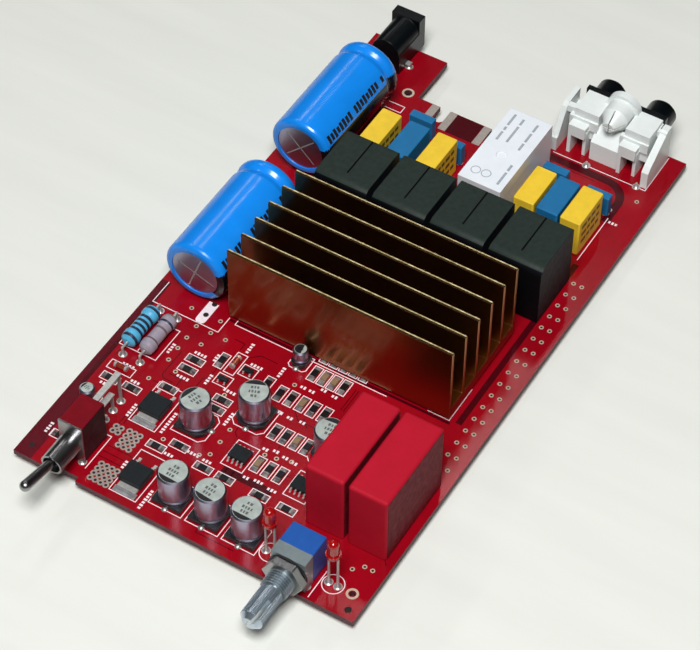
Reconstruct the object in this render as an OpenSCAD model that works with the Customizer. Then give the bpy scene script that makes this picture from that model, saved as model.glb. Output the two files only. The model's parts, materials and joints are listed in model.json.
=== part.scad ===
// Audio amplifier board: a stereo power amplifier with its controls on the front edge
// and its sockets on the rear edge.
// Units are millimetres, +Z is up and +Y points from the controls to the sockets.
// Origin: middle of the overall outline, level with the clipped leads the board stands on.

/* [Board] */
// Width of the board across its front edge
board_w = 98; // [98:0.5:106]
// Length of the board from front edge to rear edge
board_l = 175; // [175:0.5:185]
// Thickness of the laminate
board_t = 1.6; // [1.2:0.1:2]
// Length of the soldered lead ends below the board
stub_len = 2.4; // [2.2:0.1:3.4]
// Depth of the rear recess for the loudspeaker terminals
recess_d = 16.2; // [12:0.1:16.6]

/* [Heatsink] */
// Length of the heatsink along its fins
heatsink_w = 65.2; // [56:0.2:68]
// Height of the heatsink from base to fin tips
heatsink_h = 24.6; // [14:0.2:32]
// Number of fins
fin_count = 6; // [4:1:6]
// Distance from fin to fin
fin_pitch = 6.45; // [5:0.05:6.5]
// Thickness of one fin
fin_t = 1; // [0.8:0.1:2]
// Thickness of the heatsink base
sink_base_t = 3.6; // [3.2:0.1:5]

/* [Large capacitors] */
// Diameter of the lying reservoir capacitors over their sleeves
reservoir_d = 18.4; // [16:0.2:18.6]
// Length of the lying reservoir capacitors
reservoir_l = 37; // [30:0.5:37.5]
// Width of one input film capacitor
input_w = 10.9; // [9:0.1:11]
// Length of one input film capacitor
input_l = 27; // [24:0.5:27.5]
// Height of the input film capacitors
input_h = 22; // [16:0.5:26]

/* [Output filter] */
// Width of one inductor block
inductor_w = 15.7; // [13:0.1:16.6]
// Length of one inductor block
inductor_l = 17.6; // [15:0.1:18]
// Height of the inductor blocks
inductor_h = 19.7; // [14:0.1:24]
// Width of an output film capacitor
film_w = 6; // [5:0.1:6.3]
// Length of an output film capacitor
film_l = 13.4; // [12.6:0.1:13.6]
// Height of the output film capacitors
film_h = 11.7; // [9:0.1:14]
// Width of the relay
relay_w = 12.7; // [11:0.1:13]
// Length of the relay
relay_l = 29; // [26:0.1:29.4]
// Height of the relay
relay_h = 15.7; // [13:0.1:20]

/* [Small parts] */
// Diameter of the standing electrolytic capacitors
electrolytic_d = 8; // [6.3:0.1:8.2]
// Height of the standing electrolytic capacitors
electrolytic_h = 10.2; // [7:0.1:12]
// Height of the lamp tops above the board
lamp_top = 17.4; // [12:0.1:22]

/* [Power switch] */
// Length of the switch bush in front of its bracket
switch_bush_l = 8.4; // [7:0.1:10]
// Length of the lever from its pivot to the middle of its tip
lever_l = 14.4; // [11:0.1:18]
// Angle of the lever above the bush axis at rest
lever_tilt = 13; // [9:0.5:14]

/* [Volume control] */
// Width of the volume control
volume_w = 9.4; // [9.2:0.1:11]
// Diameter of the volume shaft
shaft_d = 6; // [5.8:0.1:6.2]
// Reach of the shaft in front of the board edge
shaft_reach = 16.2; // [15.4:0.1:22]
// Outside diameter of the threaded bush
volume_bush_d = 7; // [7:0.1:7.6]

/* [Sockets] */
// Distance between the two phono socket axes
phono_pitch = 15.2; // [14.6:0.1:16]
// Outside diameter of the phono barrels
phono_d = 8.3; // [8:0.1:8.6]
// Reach of the phono barrels behind the board edge
phono_reach = 7.6; // [5:0.1:9]
// Width of the power socket
power_w = 9; // [8.6:0.1:10]

/* [Hidden] */
cut = 0.1;
board_top = stub_len + board_t;
front_y = (shaft_reach - board_l - phono_reach) / 2;
lead_r = 0.35;
lead_hole_r = 0.6;
joint_r = 1.05;
joint_tip_r = 0.4;
seat = 0.3;
running_gap = 0.06;
slide_gap = 0.05;
part_gap = 0.6;

// Layout grid: places are counted in columns from the left edge and in rows from the front edge
column_count = 98;
row_count = 175;
column = board_w / column_count;
row = board_l / row_count;
function place(c, r) = [c * column, r * row];

// Phono socket block, from the right and rear edges
phono_x = board_w - 19;
phono_back = 14.2;
phono_y = board_l - phono_back;
phono_left = 15.2;
phono_right = 14;
phono_w = phono_left + phono_right;
phono_left_t = 1.5;
phono_right_t = 2;
phono_z = 8.4;
phono_r = phono_d / 2;
phono_hole_r = 1.75;
phono_block_z = 4.6;
phono_flange_t = phono_back - 12.6;
boss_z = 13.8;
boss_r = 3.8;
boss_rim = 1;
boss_nose_l = 3.8;
boss_tip_r = 1.5;
saddle_w = 9.2;

// Rear recess beside the phono block, and the open slots in its edge
recess_x = 23.2;
recess_gap = 0.6;
recess_w = phono_x - phono_left - recess_gap - recess_x;
recess_y = board_l - recess_d;
slot_w = 3.4;
slot_d = 5.5;
slot_pitch = 16.3;
slot_x = 32;

// Reservoir capacitor places, both lying along Y beside the left edge
reservoir_r = reservoir_d / 2;
sleeve_t = 0.25;
reservoir_x = reservoir_r + 1.9;
reservoir_z = [for (lift = [0.5, 1.4]) reservoir_r + lift];
reservoir_y = [for (r = [83.5, 134.7]) r * row - reservoir_l / 2];
reservoir_side = reservoir_x + reservoir_r;
reservoir_pitch = 7.5;
bung_t = 2.2;
front_rim = 1.5;
rear_rim = 2;
rim_steps = 4;
sleeve_fold = 2.3;
bung_rim = 2.2;
vent_turn = [-25, 0];
groove_back = 4.2;
groove_d = 0.8;
groove_half = 1.8;
groove_steps = 8;
lead_out = 1.7;

// Heatsink place, beside the reservoir capacitors
sink_gap = 1.9;
sink_x = reservoir_side + sink_gap;
sink_z = 1.2;
sink_l = fin_pitch * (fin_count - 1) + fin_t;
sink_cx = sink_x + heatsink_w / 2;
sink_cy = 80.425 * row;
sink_y = sink_cy - sink_l / 2;
sink_foot_r = 3;
sink_screw_r = 1.5;
sink_screw_span = heatsink_w - 12;
screw_head_r = 2.7;
screw_head_h = 1.7;
chip_l = 14;
chip_w = 6.1;
chip_lead_count = 14;
chip_lead_pitch = 0.95;

// Input film capacitors, side by side from the right edge
input_margin = 2.3;
input_gap = 1.1;
input_x = [board_w - input_margin - input_gap - 2 * input_w, board_w - input_margin - input_w];
input_y = 32.6 * row - input_l / 2;
input_pitch = 22.5;
input_round = 0.9;

// Output filter places: the inductors stand in from the right edge, clear of the reservoir
inductor_gap = 1.55;
inductor_margin = 7.3;
inductor_pitch = inductor_w + inductor_gap;
inductor_row = 3 * inductor_pitch + inductor_w;
inductor_x = max(reservoir_side + part_gap, board_w - inductor_margin - inductor_row) + inductor_w / 2;
inductor_y = 112.4 * row - inductor_l / 2;
inductor_round = 2.4;
inductor_rear_round = 0.8;
film_pitch = 10;
film_round = 0.5;
small_film = [7.2, 2.5, 6.4];
small_film_pitch = 5;
relay_c = place(60.4, 140);
relay_wall = 0.8;
relay_base_t = 2.4;
coil_inset = 2.2;
coil_l = 14.8;
coil_flange_t = 1.2;

// Standing electrolytic capacitors
can_r = electrolytic_d / 2;
can_side = can_r + 0.15;
small_can_r = 2;
small_can_h = 5.4;
foot_t = 0.2;
base_t = 1.3;

// Power switch place
switch_x = 14.05;
switch_w = 6.8;
switch_z = 6.5;
switch_h = 12.8;
plate_t = 0.5;
plate_y = 5.6;
switch_y = plate_y + plate_t;
switch_body_l = 9.6;
switch_bush_r = 3;
switch_tail_r = 2.7;
ball_r = 2;
mouth_r = 2.45;
pivot_y = 1;
mouth_y = plate_y - switch_bush_l;
lever_root_r = 1.15;
lever_tip_r = 1.5;
pivot_pin_r = 0.5;
pivot_pin_reach = 2.6;
terminal_w = 1.6;
terminal_t = 0.4;
terminal_rise = 4.6;
terminal_y = 19.6;
terminal_step = 3.5;

// Volume control place
volume_x = board_w - 18.6;
volume_z = 5.6;
volume_h = 10.6;
volume_y = 1.2;
volume_front_l = 3.6;
volume_rear_l = 6.4;
volume_bush_r = volume_bush_d / 2;
volume_core_r = volume_bush_r - 0.25;
volume_bush_l = 6.8;
shaft_r = shaft_d / 2;
journal_r = shaft_r - 0.4;
washer_t = 0.6;
washer_r = 5.4;
nut_t = 2.2;
nut_af = 10;
thread_l = volume_bush_l - washer_t - nut_t;
knurl_gap = 0.5;
shaft_slot_w = 1;
shaft_slot_d = 6.5;
shaft_chamfer = 1.2;
shaft_collar_r = 3.8;
shaft_collar_l = 0.9;

// Lamps
lamp_x = [board_w - 27.2, board_w - 9.6];
lamp_y = 6.9;
lamp_r = 1.5;
lamp_rim_r = 1.9;
lamp_len = 5.6;
lamp_pitch = 2.54;

// Power socket, from the rear edge
power_x = 9.5;
power_y = board_l - 11.2;
power_h = 11;
power_flange_t = 3.2;
power_over = 3;
power_z = 6.4;
power_bore_r = 3.2;
power_bore_l = 9.6;
power_pin_r = 1.05;
power_lug_out = 0.9;

// Lead places in board coordinates
function pair_x(c, p) = [[c[0] - p / 2, c[1]], [c[0] + p / 2, c[1]]];
function pair_y(c, p) = [[c[0], c[1] - p / 2], [c[0], c[1] + p / 2]];
function flat(v) = [for (a = v) for (b = a) b];

inductor_c = [for (i = [0:3]) [inductor_x + i * inductor_pitch, inductor_y + inductor_l / 2]];
film_left_c = [for (i = [0:2]) place(25.8 + i * 8.65, 133.3)];
film_right_c = [for (i = [0:2]) place(71.65 + i * 6.9, 136.3)];
film_c = concat(film_left_c, film_right_c);
small_film_c = [place(31.1, 147.3), place(42.6, 143.2), place(71.4, 149.2), place(85.1, 147.4)];
input_c = [for (x = input_x) [x + input_w / 2, input_y + input_l / 2]];
reservoir_end = [for (y = reservoir_y) y + reservoir_l];
lamp_c = [for (x = lamp_x) [x, lamp_y]];

reservoir_leads = flat([for (y = reservoir_end) pair_x([reservoir_x, y + lead_out], reservoir_pitch)]);
inductor_leads = flat([for (c = inductor_c) pair_y(c, 12)]);
film_leads = flat([for (c = film_c) pair_y(c, film_pitch)]);
small_film_leads = flat([for (c = small_film_c) pair_x(c, small_film_pitch)]);
input_leads = flat([for (c = input_c) pair_y(c, input_pitch)]);
relay_rows = [-12.2, 2.8, 7.8, 12.2];
relay_leads = flat([for (y = relay_rows) pair_x([relay_c[0], relay_c[1] + y - 0.2], 7.5)]);
resistor_x = [5.7, 11];
resistor_y = 48 * row;
resistor_pitch = 17;
resistor_r = [2.35, 2.15];
resistor_l = 13;
resistor_z = 2.6;
resistor_leads = flat([for (x = resistor_x) pair_y([x, resistor_y], resistor_pitch)]);
lamp_leads = flat([for (c = lamp_c) pair_x(c, lamp_pitch)]);
volume_lead_x = [-2.5, 0, 2.5];
volume_leads = [for (y = [7.4, 9.8]) for (x = volume_lead_x) [volume_x + x, y]];
volume_legs = pair_x([volume_x, volume_y + 1.8], volume_w - 1.6);
switch_legs = pair_x([switch_x, plate_y + plate_t / 2], 5.3);
terminal_feet = [for (i = [0:2]) [switch_x - 0.1, terminal_y + i * terminal_step]];
power_lug_x = power_x + power_w / 2 + power_lug_out;
power_leads = [[power_x, power_y + 1.4], [power_x, power_y + 6.6], [power_lug_x, power_y + 4.2]];
phono_c = [phono_x - phono_pitch / 2, phono_x + phono_pitch / 2];
phono_leads = [for (x = phono_c) [x + 3.7, phono_y - 0.6]];
phono_earths = [for (x = phono_c) [x, phono_y + 8.2]];
lead_points = concat(
  reservoir_leads, inductor_leads, film_leads, small_film_leads, input_leads, relay_leads,
  resistor_leads, lamp_leads, volume_leads, volume_legs, switch_legs, terminal_feet, power_leads,
  phono_leads, phono_earths
);

// Surface-mounted part places: rows of parts are set from the large parts beside them
gain_pitch = 3.13 * column;
can_6_x = input_x[0] - 1.15 - can_side;
gain_x = can_6_x - can_side - 1.76 - 3 * gain_pitch;
can_2_x = min(45.3 * column, gain_x - part_gap - 0.8 - can_side);
can_5_x = min(63.1 * column, lamp_x[0] - lamp_pitch / 2 - lead_r - part_gap - can_side);
can_4_x = min(52.6 * column, can_5_x - part_gap - 2 * can_side);
can_3_x = min(42 * column, can_4_x - part_gap - 2 * can_side);
can_c = [
  place(34.1, 30.4), [can_2_x, 40 * row], [can_3_x, 8.8 * row],
  [can_4_x, 8.8 * row], [can_5_x, 8.8 * row], [can_6_x, 39.6 * row]
];
can_turn = [-90, 180, 0, 0, 0, 180];
small_can_c = [place(6.9, 22.4), [45.7 * column, sink_y - 2.9]];
regulator_c = [place(22.7, 29), place(30.8, 8.6)];
op_amp_c = [place(48.9, 27.5), place(67, 27.5)];
transistor_c = [place(36.1, 51.2), place(32.1, 45.6)];
diode_across_c = place(8, 35.4);
diode_along_c = place(31.9, 51.8);

// Chip parts stand in rows along the board
filter_row = [for (i = [0:4]) place(46.7 + i * 3.3, 49.5)];
edge_row = [for (i = [0:3]) [(50.8 + i * 2.9) * column, sink_y - 4.3]];
gain_row = [for (i = [0:3]) [gain_x + i * gain_pitch, 38.5 * row]];
input_row = [for (i = [0:2]) place(54 + i * 3.25, 27.7)];
sink_row = [for (i = [0:4]) [(50.6 + i * 2.9) * column, sink_y + 2.3]];
front_row = [for (c = [43, 49.3, 59.4, 67.2]) place(c, 19.7)];
supply_group = [
  place(22.5, 47.4), place(22.5, 43.9), place(21.7, 36.2), place(29.4, 19.3), place(34.3, 22.4)
];
mute_group = [
  place(7.3, 31.4), place(13.8, 31.4), place(7.4, 9.6), place(35.5, 40), place(35.5, 36.8)
];
single_along = [place(28.4, 50.9), place(42.3, 50.4)];
chip_caps_along = [filter_row[2], edge_row[1], edge_row[2], gain_row[2], input_row[0]];
chip_res_along = concat(
  [filter_row[0], filter_row[1], filter_row[3], filter_row[4], edge_row[0], edge_row[3]],
  [gain_row[0], gain_row[1], gain_row[3], input_row[1], input_row[2]],
  sink_row,
  single_along
);
chip_res_across = concat(front_row, supply_group, mute_group);
chip_size = [3.2, 1.6, 0.55];
chip_end = 0.5;

// Plain round holes in the board: place and radius
corner_hole_r = 0.75;
test_hole_r = 0.9;
earth_hole_r = 1.1;
tie_hole_r = 0.6;
plain_holes = [
  [[3, 3.7], corner_hole_r], [[board_w - 2.8, 2.5], test_hole_r], [[board_w - 4.3, 6.9], corner_hole_r],
  [[recess_x - 3.3, recess_y + 0.1], earth_hole_r],
  [place(16.5, 61.6), tie_hole_r], [place(16.5, 65.7), tie_hole_r]
];

red_mask = [0.6, 0.03, 0.06];
tin = [0.78, 0.78, 0.77];
steel = [0.72, 0.73, 0.74];
gold = [0.62, 0.45, 0.2];
black = [0.05, 0.05, 0.055];
sleeve_blue = [0.02, 0.36, 0.85];
film_yellow = [0.95, 0.74, 0.12];
film_blue = [0.03, 0.27, 0.55];
crimson = [0.62, 0.02, 0.08];
white = [0.9, 0.9, 0.88];

module on_board() {
  translate([-board_w / 2, front_y, board_top])
    children();
}

// A round bar along Y, starting at y0
module bar_y(x, z, y0, r, l) {
  translate([x, y0, z])
    rotate([-90, 0, 0])
      cylinder(r = r, h = l, $fn = 48);
}

// A pin from height z0 down to the underside of the board
module pin(p, z0) {
  translate([p[0], p[1], -board_t])
    cylinder(r = lead_r, h = z0 + board_t, $fn = 8);
}

module board_hole(p, r, sides) {
  translate([p[0], p[1], -board_t - cut])
    cylinder(r = r, h = board_t + 2 * cut, $fn = sides);
}

module rear_slot(x) {
  translate([x - slot_w / 2, recess_y - slot_d + slot_w / 2, -board_t - cut])
    cube([slot_w, slot_d, board_t + 2 * cut]);
  board_hole([x, recess_y - slot_d + slot_w / 2], slot_w / 2, 32);
}

module circuit_board() {
  color(red_mask)
    on_board()
      difference() {
        translate([0, 0, -board_t])
          cube([board_w, board_l, board_t]);
        translate([recess_x, recess_y, -board_t - cut])
          cube([recess_w, recess_d + cut, board_t + 2 * cut]);
        for (i = [0:1])
          rear_slot(slot_x + i * slot_pitch);
        translate([switch_x - 4.5, -cut, -board_t - cut])
          cube([9, 1.4 + cut, board_t + 2 * cut]);
        for (p = lead_points)
          board_hole(p, lead_hole_r, 8);
        for (s = [-1, 1])
          board_hole([sink_cx + s * sink_screw_span / 2, sink_cy], sink_screw_r + 0.2, 24);
        for (h = plain_holes)
          board_hole(h[0], h[1], 20);
      }
}

module solder_joints() {
  color(tin)
    on_board()
      for (p = lead_points)
        translate([p[0], p[1], -board_top])
          cylinder(r1 = joint_tip_r, r2 = joint_r, h = stub_len, $fn = 8);
}

// A lead that leaves along Y at height z, bends and drops through the board
module bent_lead(x, y0, y1, z) {
  translate([x, min(y0, y1), z])
    rotate([-90, 0, 0])
      cylinder(r = lead_r, h = abs(y1 - y0), $fn = 8);
  translate([x, y1, z])
    sphere(r = lead_r, $fn = 8);
  pin([x, y1], z);
}

module component_leads() {
  color(tin)
    on_board() {
      for (i = [0:1])
        for (s = [-1, 1])
          bent_lead(
            reservoir_x + s * reservoir_pitch / 2,
            reservoir_end[i] - sleeve_t,
            reservoir_end[i] + lead_out,
            reservoir_z[i]
          );
      for (p = inductor_leads)
        pin(p, seat);
      for (p = concat(film_leads, small_film_leads, input_leads))
        pin(p, seat);
      for (p = relay_leads)
        pin(p, seat);
      for (i = [0:1])
        for (s = [-1, 1])
          bent_lead(
            resistor_x[i],
            resistor_y + s * resistor_l / 2,
            resistor_y + s * resistor_pitch / 2,
            resistor_z
          );
      for (p = lamp_leads)
        pin(p, lamp_top - lamp_len);
      for (p = concat(volume_leads, volume_legs))
        pin(p, seat);
    }
}

// A bent foot: leaves the body at height h and lands flat on the board
module gull_lead(w, reach, h, t) {
  rotate([90, 0, 90])
    translate([0, 0, -w / 2])
      linear_extrude(height = w)
        polygon([
          [0, h], [reach * 0.45, h], [reach * 0.6, t], [reach, t],
          [reach, 0], [reach * 0.45, 0], [reach * 0.3, h - t], [0, h - t]
        ]);
}

module both_sides() {
  children();
  mirror([0, 1, 0])
    children();
}

// The two metal ends of a chip part lying along X
module chip_ends() {
  for (s = [-1, 1])
    translate([s * (chip_size[0] - chip_end) / 2 - chip_end / 2, -chip_size[1] / 2, 0])
      cube([chip_end, chip_size[1], chip_size[2]]);
}

module chip_body(h) {
  translate([chip_end - chip_size[0] / 2, -chip_size[1] / 2, 0.03])
    cube([chip_size[0] - 2 * chip_end, chip_size[1], h]);
}

module at(p, a) {
  translate([p[0], p[1], 0])
    rotate([0, 0, a])
      children();
}

module diode_end() {
  for (s = [-1, 1])
    translate([s * 1.55 - 0.3, 0, 0.78])
      rotate([0, 90, 0])
        cylinder(r = 0.78, h = 0.6, $fn = 12);
}

module surface_mount_leads() {
  color(tin)
    on_board() {
      for (c = op_amp_c)
        at(c, 0)
          both_sides()
            for (i = [-1.5:1:1.5])
              translate([i * 1.27, 1.95, 0])
                gull_lead(0.42, 1.1, 0.85, 0.2);
      for (c = transistor_c)
        at(c, 0) {
          for (s = [-0.95, 0.95])
            translate([s, -0.65, 0])
              mirror([0, 1, 0])
                gull_lead(0.4, 0.6, 0.6, 0.15);
          translate([0, 0.65, 0])
            gull_lead(0.4, 0.6, 0.6, 0.15);
        }
      for (c = regulator_c)
        at(c, 0) {
          translate([-2.7, -4.4, 0])
            cube([5.4, 6.4, 0.5]);
          for (s = [-2.28, 2.28])
            translate([s, 3.05, 0])
              gull_lead(0.8, 2.4, 1, 0.5);
        }
      translate([sink_cx, sink_cy, 0])
        rotate([0, 0, 90])
          for (i = [0 : chip_lead_count - 1])
            translate([0, (i - (chip_lead_count - 1) / 2) * chip_lead_pitch, 0])
              for (s = [-1, 1])
                translate([s * (chip_w / 2 + 0.5) - 0.5, -0.15, 0])
                  cube([1, 0.3, 0.5]);
      for (i = [0:5])
        at(can_c[i], can_turn[i])
          both_sides()
            translate([-0.45, can_r - 1.6, 0])
              cube([0.9, 2.5, foot_t]);
      for (c = small_can_c)
        at(c, 0)
          both_sides()
            translate([-0.35, small_can_r - 0.9, 0])
              cube([0.7, 1.6, foot_t]);
      for (c = concat(chip_res_along, chip_caps_along))
        at(c, 90)
          chip_ends();
      for (c = chip_res_across)
        at(c, 0)
          chip_ends();
      at(diode_across_c, 0)
        diode_end();
      at(diode_along_c, 90)
        diode_end();
    }
}

// Finned extrusion standing on two short feet and on the back of the amplifier chip
module heatsink() {
  color(gold)
    on_board()
      difference() {
        union() {
          translate([sink_x, sink_y, sink_z])
            cube([heatsink_w, sink_l, sink_base_t]);
          for (i = [0 : fin_count - 1])
            translate([sink_x, sink_y + i * fin_pitch, sink_z])
              cube([heatsink_w, fin_t, heatsink_h]);
          for (s = [-1, 1])
            translate([sink_cx + s * sink_screw_span / 2, sink_cy, 0])
              cylinder(r = sink_foot_r, h = sink_z + cut, $fn = 32);
        }
        for (s = [-1, 1])
          translate([sink_cx + s * sink_screw_span / 2, sink_cy, -cut])
            cylinder(r = sink_screw_r, h = sink_z + sink_base_t - 0.4 + cut, $fn = 24);
      }
}

module heatsink_screws() {
  color(steel)
    on_board()
      for (s = [-1, 1])
        translate([sink_cx + s * sink_screw_span / 2, sink_cy, 0])
          difference() {
            union() {
              translate([0, 0, -board_t - screw_head_h])
                cylinder(r = screw_head_r, h = screw_head_h, $fn = 32);
              translate([0, 0, -board_t - cut])
                cylinder(r = sink_screw_r, h = board_t + sink_z + sink_base_t - 0.8 + cut, $fn = 24);
            }
            for (a = [0, 90])
              rotate([0, 0, a])
                translate([-1.6, -0.3, -board_t - screw_head_h - cut])
                  cube([3.2, 0.6, 0.8 + cut]);
          }
}

module amplifier_chip() {
  color(black)
    on_board()
      translate([sink_cx - chip_l / 2, sink_cy - chip_w / 2, 0.1])
        cube([chip_l, chip_w, sink_z - 0.1]);
}

// Rounded rims of a turned outline, from the end face to the side and back
function front_round(r, e, y) = [
  for (i = [0 : rim_steps]) [r - e + e * sin(90 * i / rim_steps), y + e - e * cos(90 * i / rim_steps)]
];
function rear_round(r, e, y) = [
  for (i = [0 : rim_steps]) [r - e + e * cos(90 * i / rim_steps), y - e + e * sin(90 * i / rim_steps)]
];
function backwards(v) = [for (i = [len(v) - 1 : -1 : 0]) v[i]];

// Rolled groove at y: one smooth wave that reaches half to either side
function groove(r, y, half) = [
  for (i = [0 : groove_steps])
    let (t = i / groove_steps)
      [r - groove_d * (1 - cos(360 * t)) / 2, y + (2 * t - 1) * half]
];

// Rolled can: flat vented end in front, rolled groove near the rear end
module reservoir_can(i) {
  r = reservoir_r - sleeve_t;
  l = reservoir_l - 2 * sleeve_t;
  color(steel)
    on_board()
      translate([reservoir_x, reservoir_y[i] + sleeve_t, reservoir_z[i]])
        rotate([-90, 0, 0])
          difference() {
            rotate_extrude($fn = 64)
              polygon(concat(
                [[0, 0]],
                front_round(r, front_rim - sleeve_t, 0),
                groove(r, l - groove_back, groove_half),
                rear_round(r, rear_rim - sleeve_t, l),
                [[r - bung_rim, l], [r - bung_rim, l - bung_t], [0, l - bung_t]]
              ));
            for (a = [45, 135])
              rotate([0, 0, a + vent_turn[i]])
                translate([3 - r, -0.2, -cut])
                  cube([2 * r - 6, 0.4, 0.25 + cut]);
          }
}

// Shrunk sleeve: follows the can and folds over both rims
module reservoir_sleeve(i) {
  r = reservoir_r;
  q = reservoir_r - sleeve_t;
  l = reservoir_l;
  g = l - sleeve_t - groove_back;
  color(sleeve_blue)
    on_board()
      translate([reservoir_x, reservoir_y[i], reservoir_z[i]])
        rotate([-90, 0, 0])
          rotate_extrude($fn = 64)
            polygon(concat(
              [[r - sleeve_fold, 0]],
              front_round(r, front_rim, 0),
              groove(r, g, groove_half + sleeve_t),
              rear_round(r, rear_rim, l),
              [[r - bung_rim, l], [r - bung_rim, l - sleeve_t]],
              backwards(rear_round(q, rear_rim - sleeve_t, l - sleeve_t)),
              backwards(groove(q, g, groove_half)),
              backwards(front_round(q, front_rim - sleeve_t, sleeve_t)),
              [[r - sleeve_fold, sleeve_t]]
            ));
}

module reservoir_bungs() {
  color(black)
    on_board()
      for (i = [0:1])
        bar_y(
          reservoir_x, reservoir_z[i], reservoir_end[i] - sleeve_t - bung_t,
          reservoir_r - sleeve_t - bung_rim, bung_t
        );
}

// Moulded block with a well rounded front top edge, a softer rear one and a parting groove on top
module inductor(i) {
  x0 = inductor_c[i][0] - inductor_w / 2;
  top = seat + inductor_h;
  color(black)
    on_board()
      difference() {
        union() {
          translate([x0, inductor_y, seat])
            cube([inductor_w, inductor_l, inductor_h - inductor_round]);
          translate([x0, inductor_y + inductor_round, seat])
            cube([inductor_w, inductor_l - inductor_round, inductor_h - inductor_rear_round]);
          translate([x0, inductor_y + inductor_round, seat])
            cube([inductor_w, inductor_l - inductor_round - inductor_rear_round, inductor_h]);
          translate([x0, inductor_y + inductor_round, top - inductor_round])
            rotate([0, 90, 0])
              cylinder(r = inductor_round, h = inductor_w, $fn = 32);
          translate([x0, inductor_y + inductor_l - inductor_rear_round, top - inductor_rear_round])
            rotate([0, 90, 0])
              cylinder(r = inductor_rear_round, h = inductor_w, $fn = 24);
        }
        translate([inductor_c[i][0] - 0.2, inductor_y + 4, top - 0.5])
          cube([0.4, inductor_l, 0.5 + cut]);
      }
}

module relay_cover() {
  color([0.88, 0.88, 0.88])
    on_board()
      translate([relay_c[0] - relay_w / 2, relay_c[1] - relay_l / 2, seat])
        difference() {
          cube([relay_w, relay_l, relay_h]);
          translate([relay_wall, relay_wall, -cut])
            cube([relay_w - 2 * relay_wall, relay_l - 2 * relay_wall, relay_h - relay_wall + cut]);
          translate([relay_w / 2, relay_l * 0.42, relay_h - 0.3])
            cylinder(r = 1.4, h = 1, $fn = 24);
        }
}

module relay_base() {
  color(black)
    on_board()
      translate([relay_c[0] - relay_w / 2 + relay_wall, relay_c[1] - relay_l / 2 + relay_wall, seat])
        cube([relay_w - 2 * relay_wall, relay_l - 2 * relay_wall, relay_base_t]);
}

// Coil on its yoke, with the contact spring block beside it
module relay_coil() {
  coil_r = min(relay_w, relay_h) / 2 - coil_inset;
  x0 = relay_c[0] - coil_r;
  y0 = relay_c[1] - relay_l / 2 + coil_inset;
  block_y = y0 + coil_l + coil_flange_t;
  block_l = relay_l - 2 * coil_inset - coil_l - coil_flange_t;
  floor_z = seat + relay_base_t;
  color([0.55, 0.25, 0.12])
    on_board() {
      for (y = [y0, y0 + coil_l])
        translate([x0, y, floor_z])
          cube([2 * coil_r, coil_flange_t, 2 * coil_r]);
      bar_y(
        relay_c[0], floor_z + coil_r, y0 + coil_flange_t - cut,
        coil_r - 0.4, coil_l - coil_flange_t + 2 * cut
      );
      translate([x0, block_y - cut, floor_z])
        cube([2 * coil_r, block_l + cut, coil_r]);
    }
}

// Box capacitor with softened vertical corners
module box_part(c, w, l, h, r) {
  translate([c[0] - w / 2 + r, c[1] - l / 2, seat])
    cube([w - 2 * r, l, h]);
  translate([c[0] - w / 2, c[1] - l / 2 + r, seat])
    cube([w, l - 2 * r, h]);
  for (x = [-1, 1])
    for (y = [-1, 1])
      translate([c[0] + x * (w / 2 - r), c[1] + y * (l / 2 - r), seat])
        cylinder(r = r, h = h, $fn = 16);
}

module yellow_film_capacitor(i) {
  color(film_yellow)
    on_board()
      box_part([film_c[0], film_c[2], film_c[3], film_c[5]][i], film_w, film_l, film_h, film_round);
}

module blue_film_capacitor(i) {
  color(film_blue)
    on_board()
      box_part([film_c[1], film_c[4]][i], film_w + 0.3, film_l, film_h - 0.2, film_round);
}

module small_film_capacitors() {
  color(film_blue)
    on_board()
      for (c = small_film_c)
        translate([c[0] - small_film[0] / 2, c[1] - small_film[1] / 2, seat])
          cube(small_film);
}

// Moulded film capacitor with round vertical corners and a round rim on top
module input_capacitor(i) {
  r = input_round;
  x0 = input_x[i];
  top = seat + input_h;
  color(crimson)
    on_board() {
      box_part(input_c[i], input_w, input_l, input_h - r, r);
      translate([x0 + r, input_y + r, seat])
        cube([input_w - 2 * r, input_l - 2 * r, input_h]);
      for (x = [x0 + r, x0 + input_w - r])
        bar_y(x, top - r, input_y + r, r, input_l - 2 * r);
      for (y = [input_y + r, input_y + input_l - r])
        translate([x0 + r, y, top - r])
          rotate([0, 90, 0])
            cylinder(r = r, h = input_w - 2 * r, $fn = 24);
      for (x = [x0 + r, x0 + input_w - r])
        for (y = [input_y + r, input_y + input_l - r])
          translate([x, y, top - r])
            sphere(r = r, $fn = 24);
    }
}

// Rolled can with a crimp ring just above its base
module small_can(r, h) {
  z0 = foot_t + base_t;
  rotate_extrude($fn = 40)
    polygon([
      [0, z0], [r - 0.2, z0], [r, z0 + 0.2], [r, z0 + 0.6],
      [r - 0.3, z0 + 0.9], [r - 0.3, z0 + 1.1], [r, z0 + 1.4],
      [r, h - 0.4], [r - 0.4, h], [0, h]
    ]);
}

module electrolytic(i) {
  color(steel)
    on_board()
      at(can_c[i], 0)
        small_can(can_r, electrolytic_h);
}

module small_electrolytics() {
  color(steel)
    on_board()
      for (c = small_can_c)
        at(c, 0)
          small_can(small_can_r, small_can_h);
}

// Square base plate with two cut corners at the rear
module can_base(r) {
  b = r + 0.15;
  k = r * 0.45;
  translate([0, 0, foot_t])
    linear_extrude(height = base_t)
      polygon([[-b, -b], [b, -b], [b, b - k], [b - k, b], [k - b, b], [-b, b - k]]);
}

module electrolytic_bases() {
  color(black)
    on_board() {
      for (i = [0:5])
        at(can_c[i], can_turn[i])
          can_base(can_r);
      for (c = small_can_c)
        at(c, 180)
          can_base(small_can_r);
    }
}

module regulators() {
  color(black)
    on_board()
      for (c = regulator_c)
        at(c, 0)
          translate([-3.3, -3.05, 0.5])
            cube([6.6, 6.1, 1.8]);
}

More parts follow.
